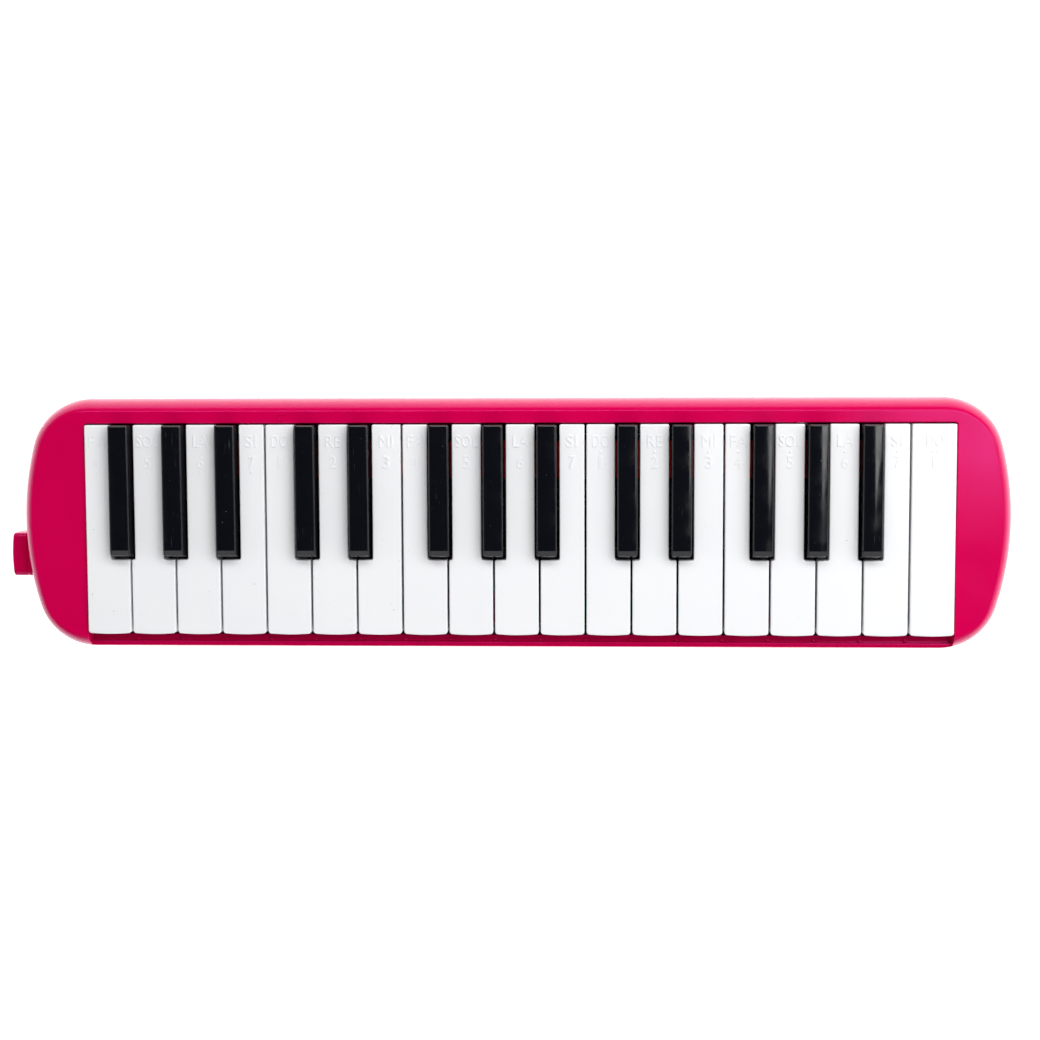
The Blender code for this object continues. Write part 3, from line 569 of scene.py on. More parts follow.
def dress_frame():
    """Better materials on the CAD nodes that stay, seen through the gaps or not at all."""
    kept = (
        (CHEST_BLACK, "wind_chest chamber_tray pivot_rail"),
        (GASKET, "pallet_gasket"),
        (FELT, "white_key_felt black_key_felt"),
        (DARK_STEEL, "key_axle key_spring_comb"),
        (BRASS, "reed_plate_bass reed_plate_treble"),
        (RUBBER, "chamber_gasket socket_seal drain_seal"),
        (PINK, "drain_cap"),
        (STEEL, "drain_spring chest_screw_1 chest_screw_2 chest_screw_3 chest_screw_4"),
    )
    for finish, names in kept:
        for name in names.split():
            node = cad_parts[name]
            if not node.material_slots:
                node.data.materials.append(finish)
            for slot in node.material_slots:
                slot.link = "OBJECT"
                slot.material = finish


# ---------------------------------------------------------------- the case's outline

def corner_place(y):
    """The X, from the case's middle, of the centre of the corner arc whose centre is at y."""
    reach = END_RADIUS - CORNER_RADIUS
    return CASE_HALF - END_RADIUS + math.sqrt(reach**2 - (y - END_CENTRE_Y) ** 2)


FRONT_CORNER_Y = CASE_FRONT + CORNER_RADIUS
REAR_CORNER_Y = CASE_REAR - CORNER_RADIUS


def arc_station(centre_x, centre_y, radius, angle, side):
    """A place on the outline as a function of the inset; side is 1 at the right, -1 at the left."""
    def at(inset):
        x = centre_x + (radius - inset) * math.cos(angle)
        return CASE_X + side * x, centre_y + (radius - inset) * math.sin(angle)

    return at


def front_station(x):
    """The place on the outline's front at a fixed X."""
    def at(inset):
        beyond = abs(x - CASE_X) - corner_place(FRONT_CORNER_Y)
        if beyond <= 0.0:
            return x, CASE_FRONT + inset
        return x, FRONT_CORNER_Y - math.sqrt((CORNER_RADIUS - inset) ** 2 - beyond**2)

    return at


def rear_station(x):
    return lambda inset: (x, CASE_REAR - inset)


def end_stations(side, start):
    """One end of the case from the front, from a corner-arc angle in degrees, to the rear."""
    front_x, rear_x = corner_place(FRONT_CORNER_Y), corner_place(REAR_CORNER_Y)
    end_x = CASE_HALF - END_RADIUS
    front_angle = math.atan2(FRONT_CORNER_Y - END_CENTRE_Y, front_x - end_x)
    rear_angle = math.atan2(REAR_CORNER_Y - END_CENTRE_Y, rear_x - end_x)
    stretches = (
        (front_x, FRONT_CORNER_Y, CORNER_RADIUS, math.radians(start), front_angle, 18),
        (end_x, END_CENTRE_Y, END_RADIUS, front_angle, rear_angle, 36),
        (rear_x, REAR_CORNER_Y, CORNER_RADIUS, rear_angle, math.radians(90), 18),
    )
    stations = []
    for x, y, radius, first, last, count in stretches:
        for step in range(count + 1):
            if stations and step == 0:
                continue
            angle = first + (last - first) * step / count
            stations.append(arc_station(x, y, radius, angle, side))
    return stations


def rear_stations(count=24):
    """The straight rear, from right to left, without its ends."""
    half = corner_place(REAR_CORNER_Y)
    return [rear_station(CASE_X + half - 2 * half * k / count) for k in range(1, count)]


def flank_rows():
    """The outside from the parting line up, as (inset, z), before the crease."""
    low = PARTING + PARTING_GAP / 2
    rows = [(PARTING_ROUND * (1 - math.sin(a)), low + PARTING_ROUND * (1 - math.cos(a)))
            for a in [math.radians(30 * k) for k in range(4)]]
    width = FLANK_WIDTH / (1 - math.sin(math.radians(FLANK_END_ANGLE)))
    height = (PLATEAU - FLANK_START) / math.cos(math.radians(FLANK_END_ANGLE))
    steps = 16
    for k in range(steps + 1):
        angle = math.radians(90 + (FLANK_END_ANGLE - 90) * k / steps)
        rows.append((width * (1 - math.sin(angle)), FLANK_START + height * math.cos(angle)))
    return rows


def creased_rows(rows):
    """The flank's rows with the corner to the plateau rounded off."""
    (x0, z0), (x1, z1) = rows[-2], rows[-1]
    corner = [(x0, z0, 0.0), (x1, z1, CREASE_RADIUS), (x1 + 4.0, z1, 0.0)]
    turned = rounded([(x0, z0 - 5.0, 0.0)] + corner, 5)
    return rows[:-1] + turned[2:-1]


# ---------------------------------------------------------------- upper case

def window_path(outset):
    """The keyboard opening's edge on the plateau, from its front right round to its front left."""
    left, right = WINDOW_LEFT - outset, WINDOW_RIGHT + outset
    rear = WINDOW_REAR + outset
    radius = WINDOW_CORNER + outset
    front_y = CASE_FRONT + FLANK_WIDTH + 0.34
    side = [front_y + (rear - radius - front_y) * k / 10 for k in range(1, 10)]
    path = [(right, y) for y in side]
    for k in range(7):
        angle = math.radians(90 * k / 6)
        path.append((right - radius + radius * math.cos(angle), rear - radius + radius * math.sin(angle)))
    across = [right - radius - (right - left - 2 * radius) * k / 24 for k in range(1, 24)]
    path += [(x, rear) for x in across]
    for k in range(7):
        angle = math.radians(90 + 90 * k / 6)
        path.append((left + radius + radius * math.cos(angle), rear - radius + radius * math.sin(angle)))
    return path + [(left, y) for y in reversed(side)]


def rounded_edge(outer, corner, inner, steps=4):
    """Points from the outer to the inner tangent point of a rounded edge."""
    outer, corner, inner = Vector(outer), Vector(corner), Vector(inner)
    centre = outer + inner - corner
    points = []
    for k in range(steps + 1):
        angle = math.radians(90) * k / steps
        arm = (outer - centre) * math.cos(angle) + (inner - centre) * math.sin(angle)
        points.append(tuple(centre + arm))
    return points


def cheek_edge(x, side, rows):
    """The rounded edge where the keyboard opening cuts down through the front flank."""
    outer_at = front_station(x + side * EDGE_RADIUS)
    edge_at = front_station(x)
    profile = [(edge_at(inset)[1], z) for inset, z in rows]
    stations = []
    for k, (inset, z) in enumerate(rows):
        before = profile[max(k - 1, 0)]
        after = profile[min(k + 1, len(profile) - 1)]
        along = Vector((after[0] - before[0], after[1] - before[1])).normalized()
        if k == len(rows) - 1:
            along = Vector((1.0, 0.0))
        inward = Vector((along.y, -along.x))
        corner = (x, profile[k][0], z)
        inner = (x, profile[k][0] + inward.x * EDGE_RADIUS, z + inward.y * EDGE_RADIUS)
        outer = (*outer_at(inset), z)
        points = rounded_edge(outer, corner, inner)
        stations.append(points + [(x, inner[1], RIM_BOTTOM)])
    return stations


def add_cheeks_and_rear(shape):
    """The plateau and flank round three sides, as one closed solid."""
    flank = flank_rows()
    hidden_row = LIP_ROWS - 1
    rows = creased_rows(flank)
    inside = CASE_WALL
    profile = [(inside, RIM_BOTTOM), (inside, rows[0][1])] + rows
    beyond_right = WINDOW_RIGHT + EDGE_RADIUS - CASE_X - corner_place(FRONT_CORNER_Y)
    beyond_left = CASE_X - WINDOW_LEFT + EDGE_RADIUS - corner_place(FRONT_CORNER_Y)
    crease_radius = CORNER_RADIUS - FLANK_WIDTH - CREASE_RADIUS
    start_right = 1.5 - math.degrees(math.acos(beyond_right / crease_radius))
    start_left = 1.5 - math.degrees(math.acos(beyond_left / crease_radius))
    stations = [front_station(WINDOW_RIGHT + EDGE_RADIUS)] + end_stations(1, start_right)
    stations += rear_stations()
    stations += list(reversed(end_stations(-1, start_left)))
    stations.append(front_station(WINDOW_LEFT - EDGE_RADIUS))
    columns = [[(*at(inset), z) for inset, z in profile] for at in stations]
    shape.grid(columns)

    right = cheek_edge(WINDOW_RIGHT, 1, rows[hidden_row:])
    left = cheek_edge(WINDOW_LEFT, -1, rows[hidden_row:])
    paths = [window_path(outset) for outset in (EDGE_RADIUS, 0.0)]
    middle = []
    for (ax, ay), (bx, by) in zip(*paths):
        points = rounded_edge((ax, ay, PLATEAU), (bx, by, PLATEAU), (bx, by, PLATEAU - EDGE_RADIUS))
        middle.append(points + [(bx, by, RIM_BOTTOM)])
    edge = right + middle + list(reversed(left))
    shape.grid(edge)

    plateau_edge = [column[-1] for column in columns]
    opening = [points[0] for points in [right[-1]] + middle + [left[-1]]]
    shape.zipped(plateau_edge, opening)
    under_edge = [column[0] for column in columns]
    under_opening = [points[-1] for points in edge]
    shape.zipped(under_edge, under_opening)
    for column, points in ((columns[0], right[0]), (columns[-1], left[0])):
        shape.face(column[: hidden_row + 3] + points[1:])


def add_lip(shape):
    """The low front lip, closed at both ends inside the cheeks."""
    flank = flank_rows()[:LIP_ROWS]
    low = flank[0][1]
    width = FLANK_WIDTH / (1 - math.sin(math.radians(FLANK_END_ANGLE)))
    height = (PLATEAU - FLANK_START) / math.cos(math.radians(FLANK_END_ANGLE))
    angle = math.acos((LIP_TOP - FLANK_START) / height)
    shoulder = width * (1 - math.sin(angle))
    left, right = WINDOW_LEFT - EDGE_RADIUS, WINDOW_RIGHT + EDGE_RADIUS
    half = corner_place(FRONT_CORNER_Y)
    places = [left, CASE_X - half] + [CASE_X - half + 2 * half * k / 24 for k in range(1, 24)]
    places += [CASE_X + half + (right - CASE_X - half) * k / 5 for k in range(6)]
    columns = []
    for x in places:
        at = front_station(x)
        outer = [(at(inset)[1], z) for inset, z in flank]
        top = [
            (*outer[-1], 0.0),
            (at(shoulder)[1], LIP_TOP, 0.75),
            (LIP_INNER, LIP_TOP, 0.6),
            (LIP_INNER, low, 0.0),
        ]
        column = outer[:-1] + rounded([(at(0)[1], low, 0.0)] + top, 5)[1:]
        columns.append([(x, y, z) for y, z in column])
    shape.grid(columns, closed=True)
    shape.face(columns[0])
    shape.face(columns[-1])


def add_ledge(shape):
    """The stepped shelf behind the lip, its end walls, and small guides between the keys' fronts."""
    low, high = LEDGE
    front, step, rear = LIP_INNER - 0.8, KEY_FRONT - 1.3, -43.5
    profile = [(front, low, 0.0), (rear, low, 0.3), (rear, high, 0.4), (step, high, 0.2)]
    profile = rounded(profile + [(step, STEP_TOP, 0.4), (front, STEP_TOP, 0.0)], 3)
    shape.bar(profile, WINDOW_LEFT - 1.5, WINDOW_RIGHT + 1.5)
    wall = [(front, low), (rear, low), (rear, RIM_BOTTOM), (front, RIM_BOTTOM)]
    shape.bar(wall, WINDOW_LEFT - 1.5, WINDOW_LEFT)
    shape.bar(wall, WINDOW_RIGHT, WINDOW_RIGHT + 1.5)
    for (_, before), (after, _) in zip(WHITE_BOXES, WHITE_BOXES[1:]):
        x = (before[0] + after[0]) / 2
        radius, top = 0.75, STEP_TOP + 1.4
        profile = [(radius, STEP_TOP - 0.5), (radius, top - radius)]
        profile += [(radius * math.cos(math.radians(a)), top - radius + radius * math.sin(math.radians(a)))
                    for a in (25, 50, 75)]
        shape.turned((x, LIP_INNER + 0.5), profile, 14)


def upper_case():
    shape = Shape()
    add_cheeks_and_rear(shape)
    shape.known = {}
    add_lip(shape)
    shape.known = {}
    add_ledge(shape)
    first_c = WHITE_BOXES[WHITE_KEYS.index("white_key_c4")]
    middle = ((first_c[0][0] + first_c[1][0]) / 2 - 3.0, (WINDOW_REAR + CASE_REAR - FLANK_WIDTH) / 2)
    shape.add(text_mesh("C", 2.9, 3.7, middle, PLATEAU))
    shape.finish("case_top", PINK, "case", ("upper_case",), "case_pink")


# ---------------------------------------------------------------- lower case

def lower_rows():
    """The closed section of the lower shell, as (inset, z), from the floor's outside up."""
    top = PARTING - PARTING_GAP / 2
    draft, floor_inset, rise = 0.4, 8.0, 10.5
    rows = []
    for k in range(13):
        angle = math.radians(90 * k / 12)
        inset = draft + (floor_inset - draft) * (1 - math.sin(angle))
        rows.append((inset, UNDERSIDE + rise * (1 - math.cos(angle))))
    for inset, drop in quarter(PARTING_ROUND, 3):
        rows.append((inset, top - drop))
    return rows + [(CASE_WALL, top), (2.8, 12.0), (4.2, 7.0), (8.0, 3.5)]


def case_loop():
    """Every station round the whole outline, counter-clockwise from the front's middle."""
    half = corner_place(FRONT_CORNER_Y)
    front = [front_station(CASE_X + half * k / 12) for k in range(12)]
    left_front = [front_station(CASE_X - half + half * k / 12) for k in range(1, 12)]
    return front + end_stations(1, -90.0) + rear_stations() + end_stations(-1, -90.0)[::-1] + left_front


def recess_cutter(places, profile):
    shape = Shape()
    for x, y in places:
        shape.turned((x, y), profile)
    return shape.finish("cutter", PINK)


def screw_places():
    return [node_middle(f"case_screw_{number}") for number in range(1, 5)]


def foot_places():
    return [(CASE_X + x, y) for x in (-150.0, 150.0) for y in (-30.0, 30.0)]


def socket_corners(grow=0.0):
    """The socket's end view in Y and Z, as corners with their radius."""
    half_y, half_z = SOCKET_HALF
    return box_corners(SOCKET_Y, SOCKET_Z, half_y + grow, half_z + grow, SOCKET_CORNER)


def lower_case():
    shape = Shape()
    stations = case_loop()
    rows = [[(*at(inset), z) for at in stations] for inset, z in lower_rows()]
    shape.loft(rows)
    case = shape.finish("case_bottom", PINK)
    flare = [(radius, UNDERSIDE + z) for radius, z in ((4.3, -1.0), (4.3, -0.01), (3.8, 0.15), (3.5, 0.6))]
    cut(case, recess_cutter(screw_places(), flare + [(3.5, 2.9), (1.9, 2.95), (1.9, 6.0)]))
    drain = [(radius, UNDERSIDE + z) for radius, z in ((6.4, -1.0), (6.4, -0.01), (5.7, 0.2), (5.4, 0.7))]
    cut(case, recess_cutter([node_middle("drain_button")], drain + [(5.4, 6.0)]))
    opening = Shape()
    opening.bar(rounded(socket_corners(0.35), 6), CASE_LOW[0] - 5.0, CASE_LOW[0] + 12.0)
    cut(case, opening.finish("opening", PINK))
    finish_cut(case, PINK, 42.0, "lower_case")


def feet():
    """Four moulded feet with a ring groove, part of the lower case."""
    shape = Shape()
    for place in foot_places():
        profile = [(7.3, 2.4), (7.0, 1.6), (6.6, 1.1), (6.3, 0.4), (5.9, 0.08), (5.4, 0.0)]
        shape.turned(place, profile + [(4.2, 0.0), (3.9, 0.25), (3.6, 0.3)], 40)
    shape.finish("case_feet", PINK, "case", (), "case_pink")


# ---------------------------------------------------------------- keys

def neighbours(index):
    """The middles of the black keys that cut into a white key at its left and right, or None."""
    low, high = WHITE_BOXES[index]
    before = after = None
    for centre in BLACK_CENTRES:
        if low[0] - NOTCH_WIDTH / 2 < centre < low[0] + NOTCH_WIDTH / 2 + 0.5:
            before = centre
        if high[0] - NOTCH_WIDTH / 2 - 0.5 < centre < high[0] + NOTCH_WIDTH / 2:
            after = centre
    return before, after


def white_corners(index):
    low, high = WHITE_BOXES[index]
    left, right = low[0], high[0]
    before, after = neighbours(index)
    tail_left = left if before is None else before + NOTCH_WIDTH / 2
    tail_right = right if after is None else after - NOTCH_WIDTH / 2
    corners = [(left, KEY_FRONT, WHITE_FRONT_CORNER)]
    corners += [(left + (right - left) * k / 8, KEY_FRONT, 0.0) for k in range(1, 8)]
    corners += [(right, KEY_FRONT, WHITE_FRONT_CORNER), (right, SKIRT_STEP, 0.0)]
    if after is not None:
        corners += [(right, NOTCH_FRONT, 0.55), (tail_right, NOTCH_FRONT, 0.8)]
    corners += [(tail_right, KEY_REAR, WHITE_REAR_CORNER), (tail_left, KEY_REAR, WHITE_REAR_CORNER)]
    if before is not None:
        corners += [(tail_left, NOTCH_FRONT, 0.8), (left, NOTCH_FRONT, 0.55)]
    corners.append((left, SKIRT_STEP, 0.0))
    return corners, (tail_left, tail_right)


def white_ring(index, inset, height):
    """One ring of a white key; height(y) gives its z."""
    corners, _ = white_corners(index)
    low, high = WHITE_BOXES[index]
    middle, half = (low[0] + high[0]) / 2, (high[0] - low[0]) / 2
    ring = []
    for x, y in rounded(inset_corners(corners, inset), 5):
        if y < SKIRT_STEP - 0.5:
            y -= WHITE_BOW * (1 - ((x - middle) / half) ** 2) - WHITE_BOW
        ring.append((x, y, height(y)))
    return ring


def skirt(y):
    return WHITE_FRONT_SKIRT if y < SKIRT_STEP - 0.5 else WHITE_SKIRT


def add_lever(shape, x, ceiling):
    """The rib under a key's rear half, its snap bearing on the axle, and the pallet."""
    bore = 1.3
    arc = [
        (PIVOT_Y + bore * math.cos(math.radians(a)), PIVOT_Z + bore * math.sin(math.radians(a)))
        for a in range(-50, 231, 20)
    ]
    profile = [
        (PIVOT_Y - 9.0, ceiling + 0.5),
        (PIVOT_Y - 9.0, PIVOT_Z + 1.5),
        (PIVOT_Y - 2.7, PIVOT_Z + 1.4),
        (PIVOT_Y - 2.7, PIVOT_Z - 1.6),
        (PIVOT_Y - 1.6, PIVOT_Z - 2.2),
    ]
    profile += arc[::-1]
    profile += [
        (PIVOT_Y + 1.6, PIVOT_Z - 2.2),
        (PIVOT_Y + 2.7, PIVOT_Z - 1.6),
        (PIVOT_Y + 2.7, PIVOT_Z + 1.2),
        (PALLET_Y[1], PIVOT_Z + 1.2),
        (PALLET_Y[1], ceiling + 0.5),
    ]
    shape.bar(profile[::-1], x - 2.0, x + 2.0)
    front, rear = PALLET_Y
    foot = box_corners(x, (front + rear) / 2, PALLET_HALF, (rear - front) / 2, 0.6)
    shape.loft([[(px, py, z) for px, py in rounded(foot, 3)] for z in (PALLET_Z, PIVOT_Z + 2.0)])


# Note names and numerals by letter, and the names' widths
NAMES = {"c": ("DO", "1"), "d": ("RE", "2"), "e": ("MI", "3"), "f": ("FA", "4"),
         "g": ("SOL", "5"), "a": ("LA", "6"), "b": ("SI", "7")}
NAME_WIDTHS = {"DO": 7.2, "RE": 6.4, "MI": 5.6, "FA": 6.8, "SOL": 9.4, "LA": 6.6, "SI": 4.5}


def add_labels(shape, note, middle):
    """The raised note name and numeral near a white key's rear, with its octave's dots."""
    letter, octave = note[0], int(note[1])
    name, numeral = NAMES[letter]
    shape.add(text_mesh(name, 5.0, NAME_WIDTHS[name], (middle, KEY_REAR - 7.0), KEY_TOP))
    shape.add(text_mesh(numeral, 5.2, 1.5 if numeral == "1" else 2.7, (middle, KEY_REAR - 15.9), KEY_TOP))
    dots = []
    if octave == 3:
        dots = [(middle, KEY_REAR - 20.2)]
    elif octave == 5:
        dots = [(middle, KEY_REAR - 11.6)]
    elif octave == 6:
        dots = [(middle - 0.9, KEY_REAR - 11.6), (middle + 0.9, KEY_REAR - 11.6)]
    for place in dots:
        shape.known = {}
        profile = [(0.5, KEY_TOP - 0.1), (0.5, KEY_TOP + LABEL_RISE - 0.04), (0.42, KEY_TOP + LABEL_RISE)]
        shape.turned(place, profile, 14)


def white_key(index):
    node = WHITE_KEYS[index]
    note = node.split("_")[-1]
    ceiling = KEY_TOP - 2.2
    _, tail = white_corners(index)
    shape = Shape()
    rows = [
        white_ring(index, KEY_WALL, lambda y: ceiling),
        white_ring(index, KEY_WALL, skirt),
        white_ring(index, 0.25, skirt),
        white_ring(index, 0.0, lambda y: skirt(y) + 0.25),
    ]
    for inset, drop in quarter(WHITE_RADIUS, 5):
        rows.append(white_ring(index, inset, lambda y: KEY_TOP - drop))
    shape.loft(rows)
    shape.known = {}
    middle = (tail[0] + tail[1]) / 2
    add_lever(shape, middle, ceiling)
    add_labels(shape, note, middle)
    shape.finish(f"key_white_{note}", WHITE, f"key_{note}", (node,), "key_white")


def black_ring(x, half, front, radius, height, rear):
    """One ring of a black key, with stations where the top turns down to the front."""
    ease = 0.25
    corners = [(x - half, front, radius)]
    corners += [(x - half + 2 * half * k / 6, front, 0.0) for k in range(1, 6)]
    corners += [
        (x + half, front, radius),
        (x + half, BLACK_CREASE_Y - ease, 0.0),
        (x + half, BLACK_CREASE_Y, 0.0),
        (x + half, BLACK_CREASE_Y + ease, 0.0),
        (x + half, rear, 0.5),
        (x - half, rear, 0.5),
        (x - half, BLACK_CREASE_Y + ease, 0.0),
        (x - half, BLACK_CREASE_Y, 0.0),
        (x - half, BLACK_CREASE_Y - ease, 0.0),
    ]
    bow = 0.18
    ring = []
    for px, py in rounded(corners, 5):
        if py < BLACK_CREASE_Y - 1.0:
            py += bow * ((px - x) / half) ** 2
        ring.append((px, py, height(px, py)))
    return ring


def black_key(index):
    node = BLACK_KEYS[index]
    note = node.split("_")[-1]
    low, high = node_box(node)
    x = BLACK_CENTRES[index]
    half_base = BLACK_WIDTH / 2
    half_top = BLACK_TOP_WIDTH / 2
    top, rear = high[2], high[1]
    bottom = BLACK_SKIRT

    def crest(px, py):
        """The top's height: crowned across, and turned down towards the front."""
        crown = BLACK_CROWN * ((px - x) / half_top) ** 2
        ahead = BLACK_CREASE_Y - py
        slope = BLACK_NOSE_DROP / (BLACK_CREASE_Y - BLACK_NOSE_Y)
        ease = 0.25
        if ahead <= -ease:
            drop = 0.0
        elif ahead < ease:
            drop = slope * (ahead + ease) ** 2 / (4 * ease)
        else:
            drop = slope * ahead
        return top - crown - drop

    shape = Shape()
    inner = half_base - KEY_WALL
    hollow = -14.0 + KEY_WALL
    rows = [black_ring(x, inner, hollow, 0.3, lambda px, py: z, rear - KEY_WALL) for z in (38.8, bottom)]
    rows.append(black_ring(x, half_base - 0.2, -13.8, 0.7, lambda px, py: bottom, rear - 0.2))
    # The body from its foot up: how far it narrows each side, its front, corner radius and height
    body = (
        (0.0, -14.0, 0.8, bottom + 0.2),
        (0.0, -14.0, 0.8, 35.5),
        (0.1, -13.45, 0.8, 38.8),
        (0.2, -13.15, 0.8, 40.2),
        (0.38, -12.85, 0.78, 41.8),
    )
    for inset, front, radius, z in body:
        rows.append(black_ring(x, half_base - inset, front, radius, lambda px, py: z, rear))
    for inset, drop in quarter(BLACK_RADIUS, 5):
        half = half_top + BLACK_RADIUS - inset
        front = BLACK_NOSE_Y - 0.1 + inset * 0.7
        radius = max(0.75 - inset, 0.12)
        rows.append(
            black_ring(x, half, front, radius, lambda px, py: crest(px, py) - drop, rear - 0.05 - inset)
        )
    shape.grid(rows, closed=True)
    shape.face(rows[0])
    add_crown(shape, rows[-1], x, crest)
    shape.known = {}
    add_lever(shape, x, 38.3)
    shape.finish(f"key_black_{note}", BLACK, f"key_{note}", (node,), "key_black")


def add_crown(shape, ring, x, crest):
    """Fills a black key's top with strips along it, so that its crown is a real shape."""
    shares = (-0.85, -0.62, -0.38, -0.13, 0.13, 0.38, 0.62, 0.85)
    left = sorted((p for p in ring if p[0] < x - 1.0 and p[1] > BLACK_NOSE_Y + 0.9), key=lambda p: p[1])
    right = sorted((p for p in ring if p[0] > x + 1.0 and p[1] > BLACK_NOSE_Y + 0.9), key=lambda p: p[1])
    rows = []
    for a, b in zip(left, right):
        middle, half = (a[0] + b[0]) / 2, (b[0] - a[0]) / 2
        inner = [(middle + half * share, (a[1] + b[1]) / 2) for share in shares]
        rows.append([a] + [(px, py, crest(px, py)) for px, py in inner] + [b])
    shape.grid(rows)
    first = rows[0]
    start, stop = ring.index(first[-1]), ring.index(first[0])
    nose = ring[stop:] + ring[: start + 1] if stop > start else ring[stop : start + 1]
    shape.zipped(nose, first)
    last = rows[-1]
    start, stop = ring.index(last[-1]), ring.index(last[0])
    shape.zipped(ring[start : stop + 1], last[::-1])


def build_keys():
    for index in range(len(WHITE_KEYS)):
        white_key(index)
    for index in range(len(BLACK_KEYS)):
        black_key(index)


# ---------------------------------------------------------------- socket, drain and screws

def mouth_socket():
    """The mouthpiece socket: a rounded block with a crowned end, a step and a chamfered bore."""
    shape = Shape()
    end = node_box("mouth_socket")[0][0]
    half_y, half_z = SOCKET_HALF
    bore = 6.2
    inner_end = end + 25.6

    def outline(corners):
        """The rounded corners, with points along the sides between them."""
        made = []
        arcs = rounded(corners, 8)
        for k, (y, z) in enumerate(arcs):
            made.append((y, z))
            after = arcs[(k + 1) % len(arcs)]
            if math.dist((y, z), after) > 3.0:
                made += [(y + (after[0] - y) * t / 8, z + (after[1] - z) * t / 8) for t in range(1, 8)]
        return made

    def ring(corners_inset, x, crown=0.0):
        corners = inset_corners(socket_corners(), corners_inset)
        made = []
        for y, z in outline(corners):
            bulge = crown * (((y - SOCKET_Y) / half_y) ** 2 + 0.4 * ((z - SOCKET_Z) / half_z) ** 2)
            made.append((x + bulge, y, z))
        return made

    def bore_ring(radius, x, crown=0.0):
        made = []
        for y, z in outline(socket_corners()):
            angle = math.atan2(z - SOCKET_Z, y - SOCKET_Y)
            dy, dz = radius * math.cos(angle), radius * math.sin(angle)
            bulge = crown * ((dy / half_y) ** 2 + 0.4 * (dz / half_z) ** 2)
            made.append((x + bulge, SOCKET_Y + dy, SOCKET_Z + dz))
        return made

    crown = 0.55
    rows = [ring(0.0, end + 18.0)]
    groove = ((0.0, 7.35), (0.12, 7.15), (0.5, 7.0), (0.5, 6.6), (0.12, 6.45), (0.0, 6.25))
    rows += [ring(inset, end + ahead) for inset, ahead in groove]
    rows.append(ring(0.0, end + 1.4, crown))
    for inset, drop in quarter(0.7, 5)[1:]:
        rows.append(ring(inset, end + drop, crown))
    mouth = ((bore + 0.5, 0.0), (bore + 0.12, 0.12), (bore, 0.5))
    rows += [bore_ring(radius, end + ahead, crown) for radius, ahead in mouth]
    throat = ((bore, 0.0), (1.9, 0.5), (1.9, 2.5), (7.0, 2.5))
    rows += [bore_ring(radius, inner_end + ahead) for radius, ahead in throat]
    rows.append(bore_ring(7.0, end + 18.0))
    shape.grid(rows, closed=True)
    shape.grid([rows[-1], rows[0]], closed=True)
    shape.finish("mouthpiece_socket", PINK, "case", ("mouth_socket",), "case_pink")


def drain_button():
    """The round drain button with a dished face and its stem."""
    shape = Shape()
    low, high = node_box("drain_button")
    bottom, top = low[2], high[2]
    dish = ((1.2, 0.55), (2.6, 0.42), (3.7, 0.1), (4.1, 0.0), (4.5, 0.05), (4.85, 0.3), (5.0, 0.7))
    rim = ((5.0, 1.8), (4.9, 1.9), (1.1, 1.92))
    profile = [(radius, bottom + rise) for radius, rise in dish + rim]
    profile += [(1.1, top - 0.8), (1.9, top - 0.79), (1.7, top - 0.3), (1.4, top)]
    shape.turned(node_middle("drain_button"), profile, 40)
    shape.finish("drain_valve_button", PINK, "drain_valve", ("drain_button",), "case_pink")


def case_screws():
    """Four pan-head screws with a cross recess, heads down."""
    for number, (x, y) in enumerate(screw_places(), 1):
        node = f"case_screw_{number}"
        low, high = node_box(node)
        shape = Shape()
        head, top = low[2], high[2]
        pan = ((0.6, -0.02), (1.6, 0.05), (2.4, 0.32), (2.85, 0.75), (3.0, 1.2), (3.0, 1.9), (2.9, 2.0))
        profile = [(radius, head + rise) for radius, rise in pan] + [(1.3, head + 2.02)]
        pitch = 1.0
        steps = int((top - head - 5.0) / pitch)
        for k in range(steps):
            z = head + 3.0 + k * pitch
            profile += [(1.0, z), (1.25, z + pitch / 2)]
        profile += [(1.0, top - 1.2), (0.2, top)]
        shape.turned((x, y), profile, 24)
        made = shape.finish(f"cross_screw_{number}", STEEL)
        cross = Shape()
        for turn in (20.0 + 31.0 * number, 110.0 + 31.0 * number):
            way = Vector((math.cos(math.radians(turn)), math.sin(math.radians(turn))))
            aside = Vector((-way.y, way.x))
            rings = []
            for reach, half, rise in ((1.75, 0.36, -0.5), (1.6, 0.3, 0.3), (0.5, 0.18, 1.3)):
                corners = [reach * a * way + half * b * aside for a, b in SQUARE]
                rings.append([(x + corner.x, y + corner.y, head + rise) for corner in corners])
            cross.loft(rings)
            cross.known = {}
        cut(made, cross.finish("cross", STEEL))
        finish_cut(made, STEEL, 35.0, node)


# ---------------------------------------------------------------- studio

def studio_floor():
    mesh = bpy.data.meshes.new("studio_floor")
    half = 6.0
    corners = [(-half, -half, 0.0), (half, -half, 0.0), (half, half, 0.0), (-half, half, 0.0)]
    mesh.from_pydata(corners, [], [(0, 1, 2, 3)])
    made = bpy.data.objects.new("studio_floor", mesh)
    bpy.context.scene.collection.objects.link(made)
    mesh.materials.append(floor_paper())


def soft_light(name, place, size, power, target=(0.0, 0.0, 0.03)):
    """A rectangular softbox; place and size in metres, power in watts."""
    lamp = bpy.data.lights.new(name, "AREA")
    lamp.shape = "RECTANGLE"
    lamp.size, lamp.size_y = size
    lamp.energy = power
    made = bpy.data.objects.new(name, lamp)
    made.location = place
    aim = Vector(target) - Vector(place)
    made.rotation_euler = aim.to_track_quat("-Z", "Y").to_euler()
    bpy.context.scene.collection.objects.link(made)


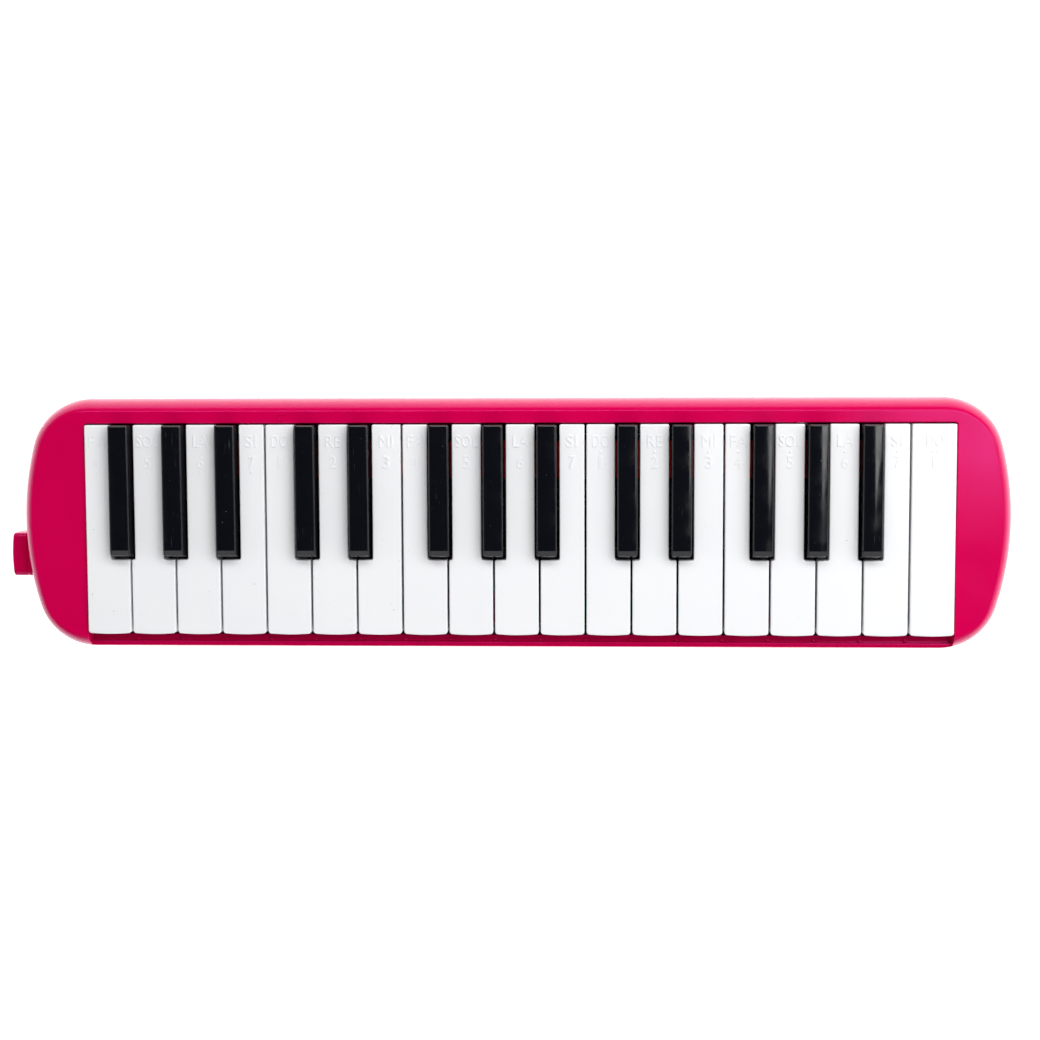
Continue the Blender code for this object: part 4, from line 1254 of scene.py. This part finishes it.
def studio_world():
    """Softly lit all round and dark straight above, as in a studio lit from its sides."""
    world = bpy.data.worlds.new("studio")
    bpy.context.scene.world = world
    sky = Finish(world)
    place = sky.nodes.new("ShaderNodeTexCoord")
    axes = sky.nodes.new("ShaderNodeSeparateXYZ")
    sky.links.new(place.outputs["Generated"], axes.inputs["Vector"])
    height = sky.ranged(axes.outputs["Z"], 0.75, 0.93)
    background = sky.nodes["Background"]
    sky.links.new(sky.blended(height, (0.96, 0.97, 1.0), (0.01, 0.01, 0.013)), background.inputs["Color"])
    background.inputs["Strength"].default_value = 0.10


def studio_lights():
    soft_light("rear_softbox", (0.15, 1.15, 1.25), (1.9, 0.45), 17.0)
    soft_light("right_softbox", (0.60, 0.30, 0.90), (0.5, 0.9), 6.0)
    soft_light("right_wall", (1.7, 0.0, 0.6), (1.6, 0.9), 6.0)
    soft_light("front_softbox", (0.1, -1.35, 1.05), (2.4, 1.3), 10.0)
    soft_light("left_softbox", (-1.4, 0.1, 0.8), (1.0, 1.4), 3.2)


CAMERA_PLACE = (0.0444, 0.0720, 0.8380)         # metres
CAMERA_LEAN = (-4.960, 2.609, -0.190)           # degrees about X, Y and Z
CAMERA_LENS = 65.57


def camera():
    """Nearly straight above, leaning a little to the rear and to the right."""
    lens = bpy.data.cameras.new("camera")
    lens.lens = CAMERA_LENS
    lens.sensor_width = 36.0
    lens.clip_end = 50.0
    made = bpy.data.objects.new("camera", lens)
    x, y, z = [math.radians(value) for value in CAMERA_LEAN]
    lean = Matrix.Rotation(y, 4, "Y") @ Matrix.Rotation(x, 4, "X") @ Matrix.Rotation(z, 4, "Z")
    made.matrix_world = Matrix.Translation(CAMERA_PLACE) @ lean
    bpy.context.scene.collection.objects.link(made)
    bpy.context.scene.camera = made


def main():
    dress_frame()
    upper_case()
    lower_case()
    feet()
    build_keys()
    mouth_socket()
    drain_button()
    case_screws()
    studio_floor()
    studio_world()
    studio_lights()
    camera()
    bpy.context.scene.view_settings.view_transform = "Standard"


main()
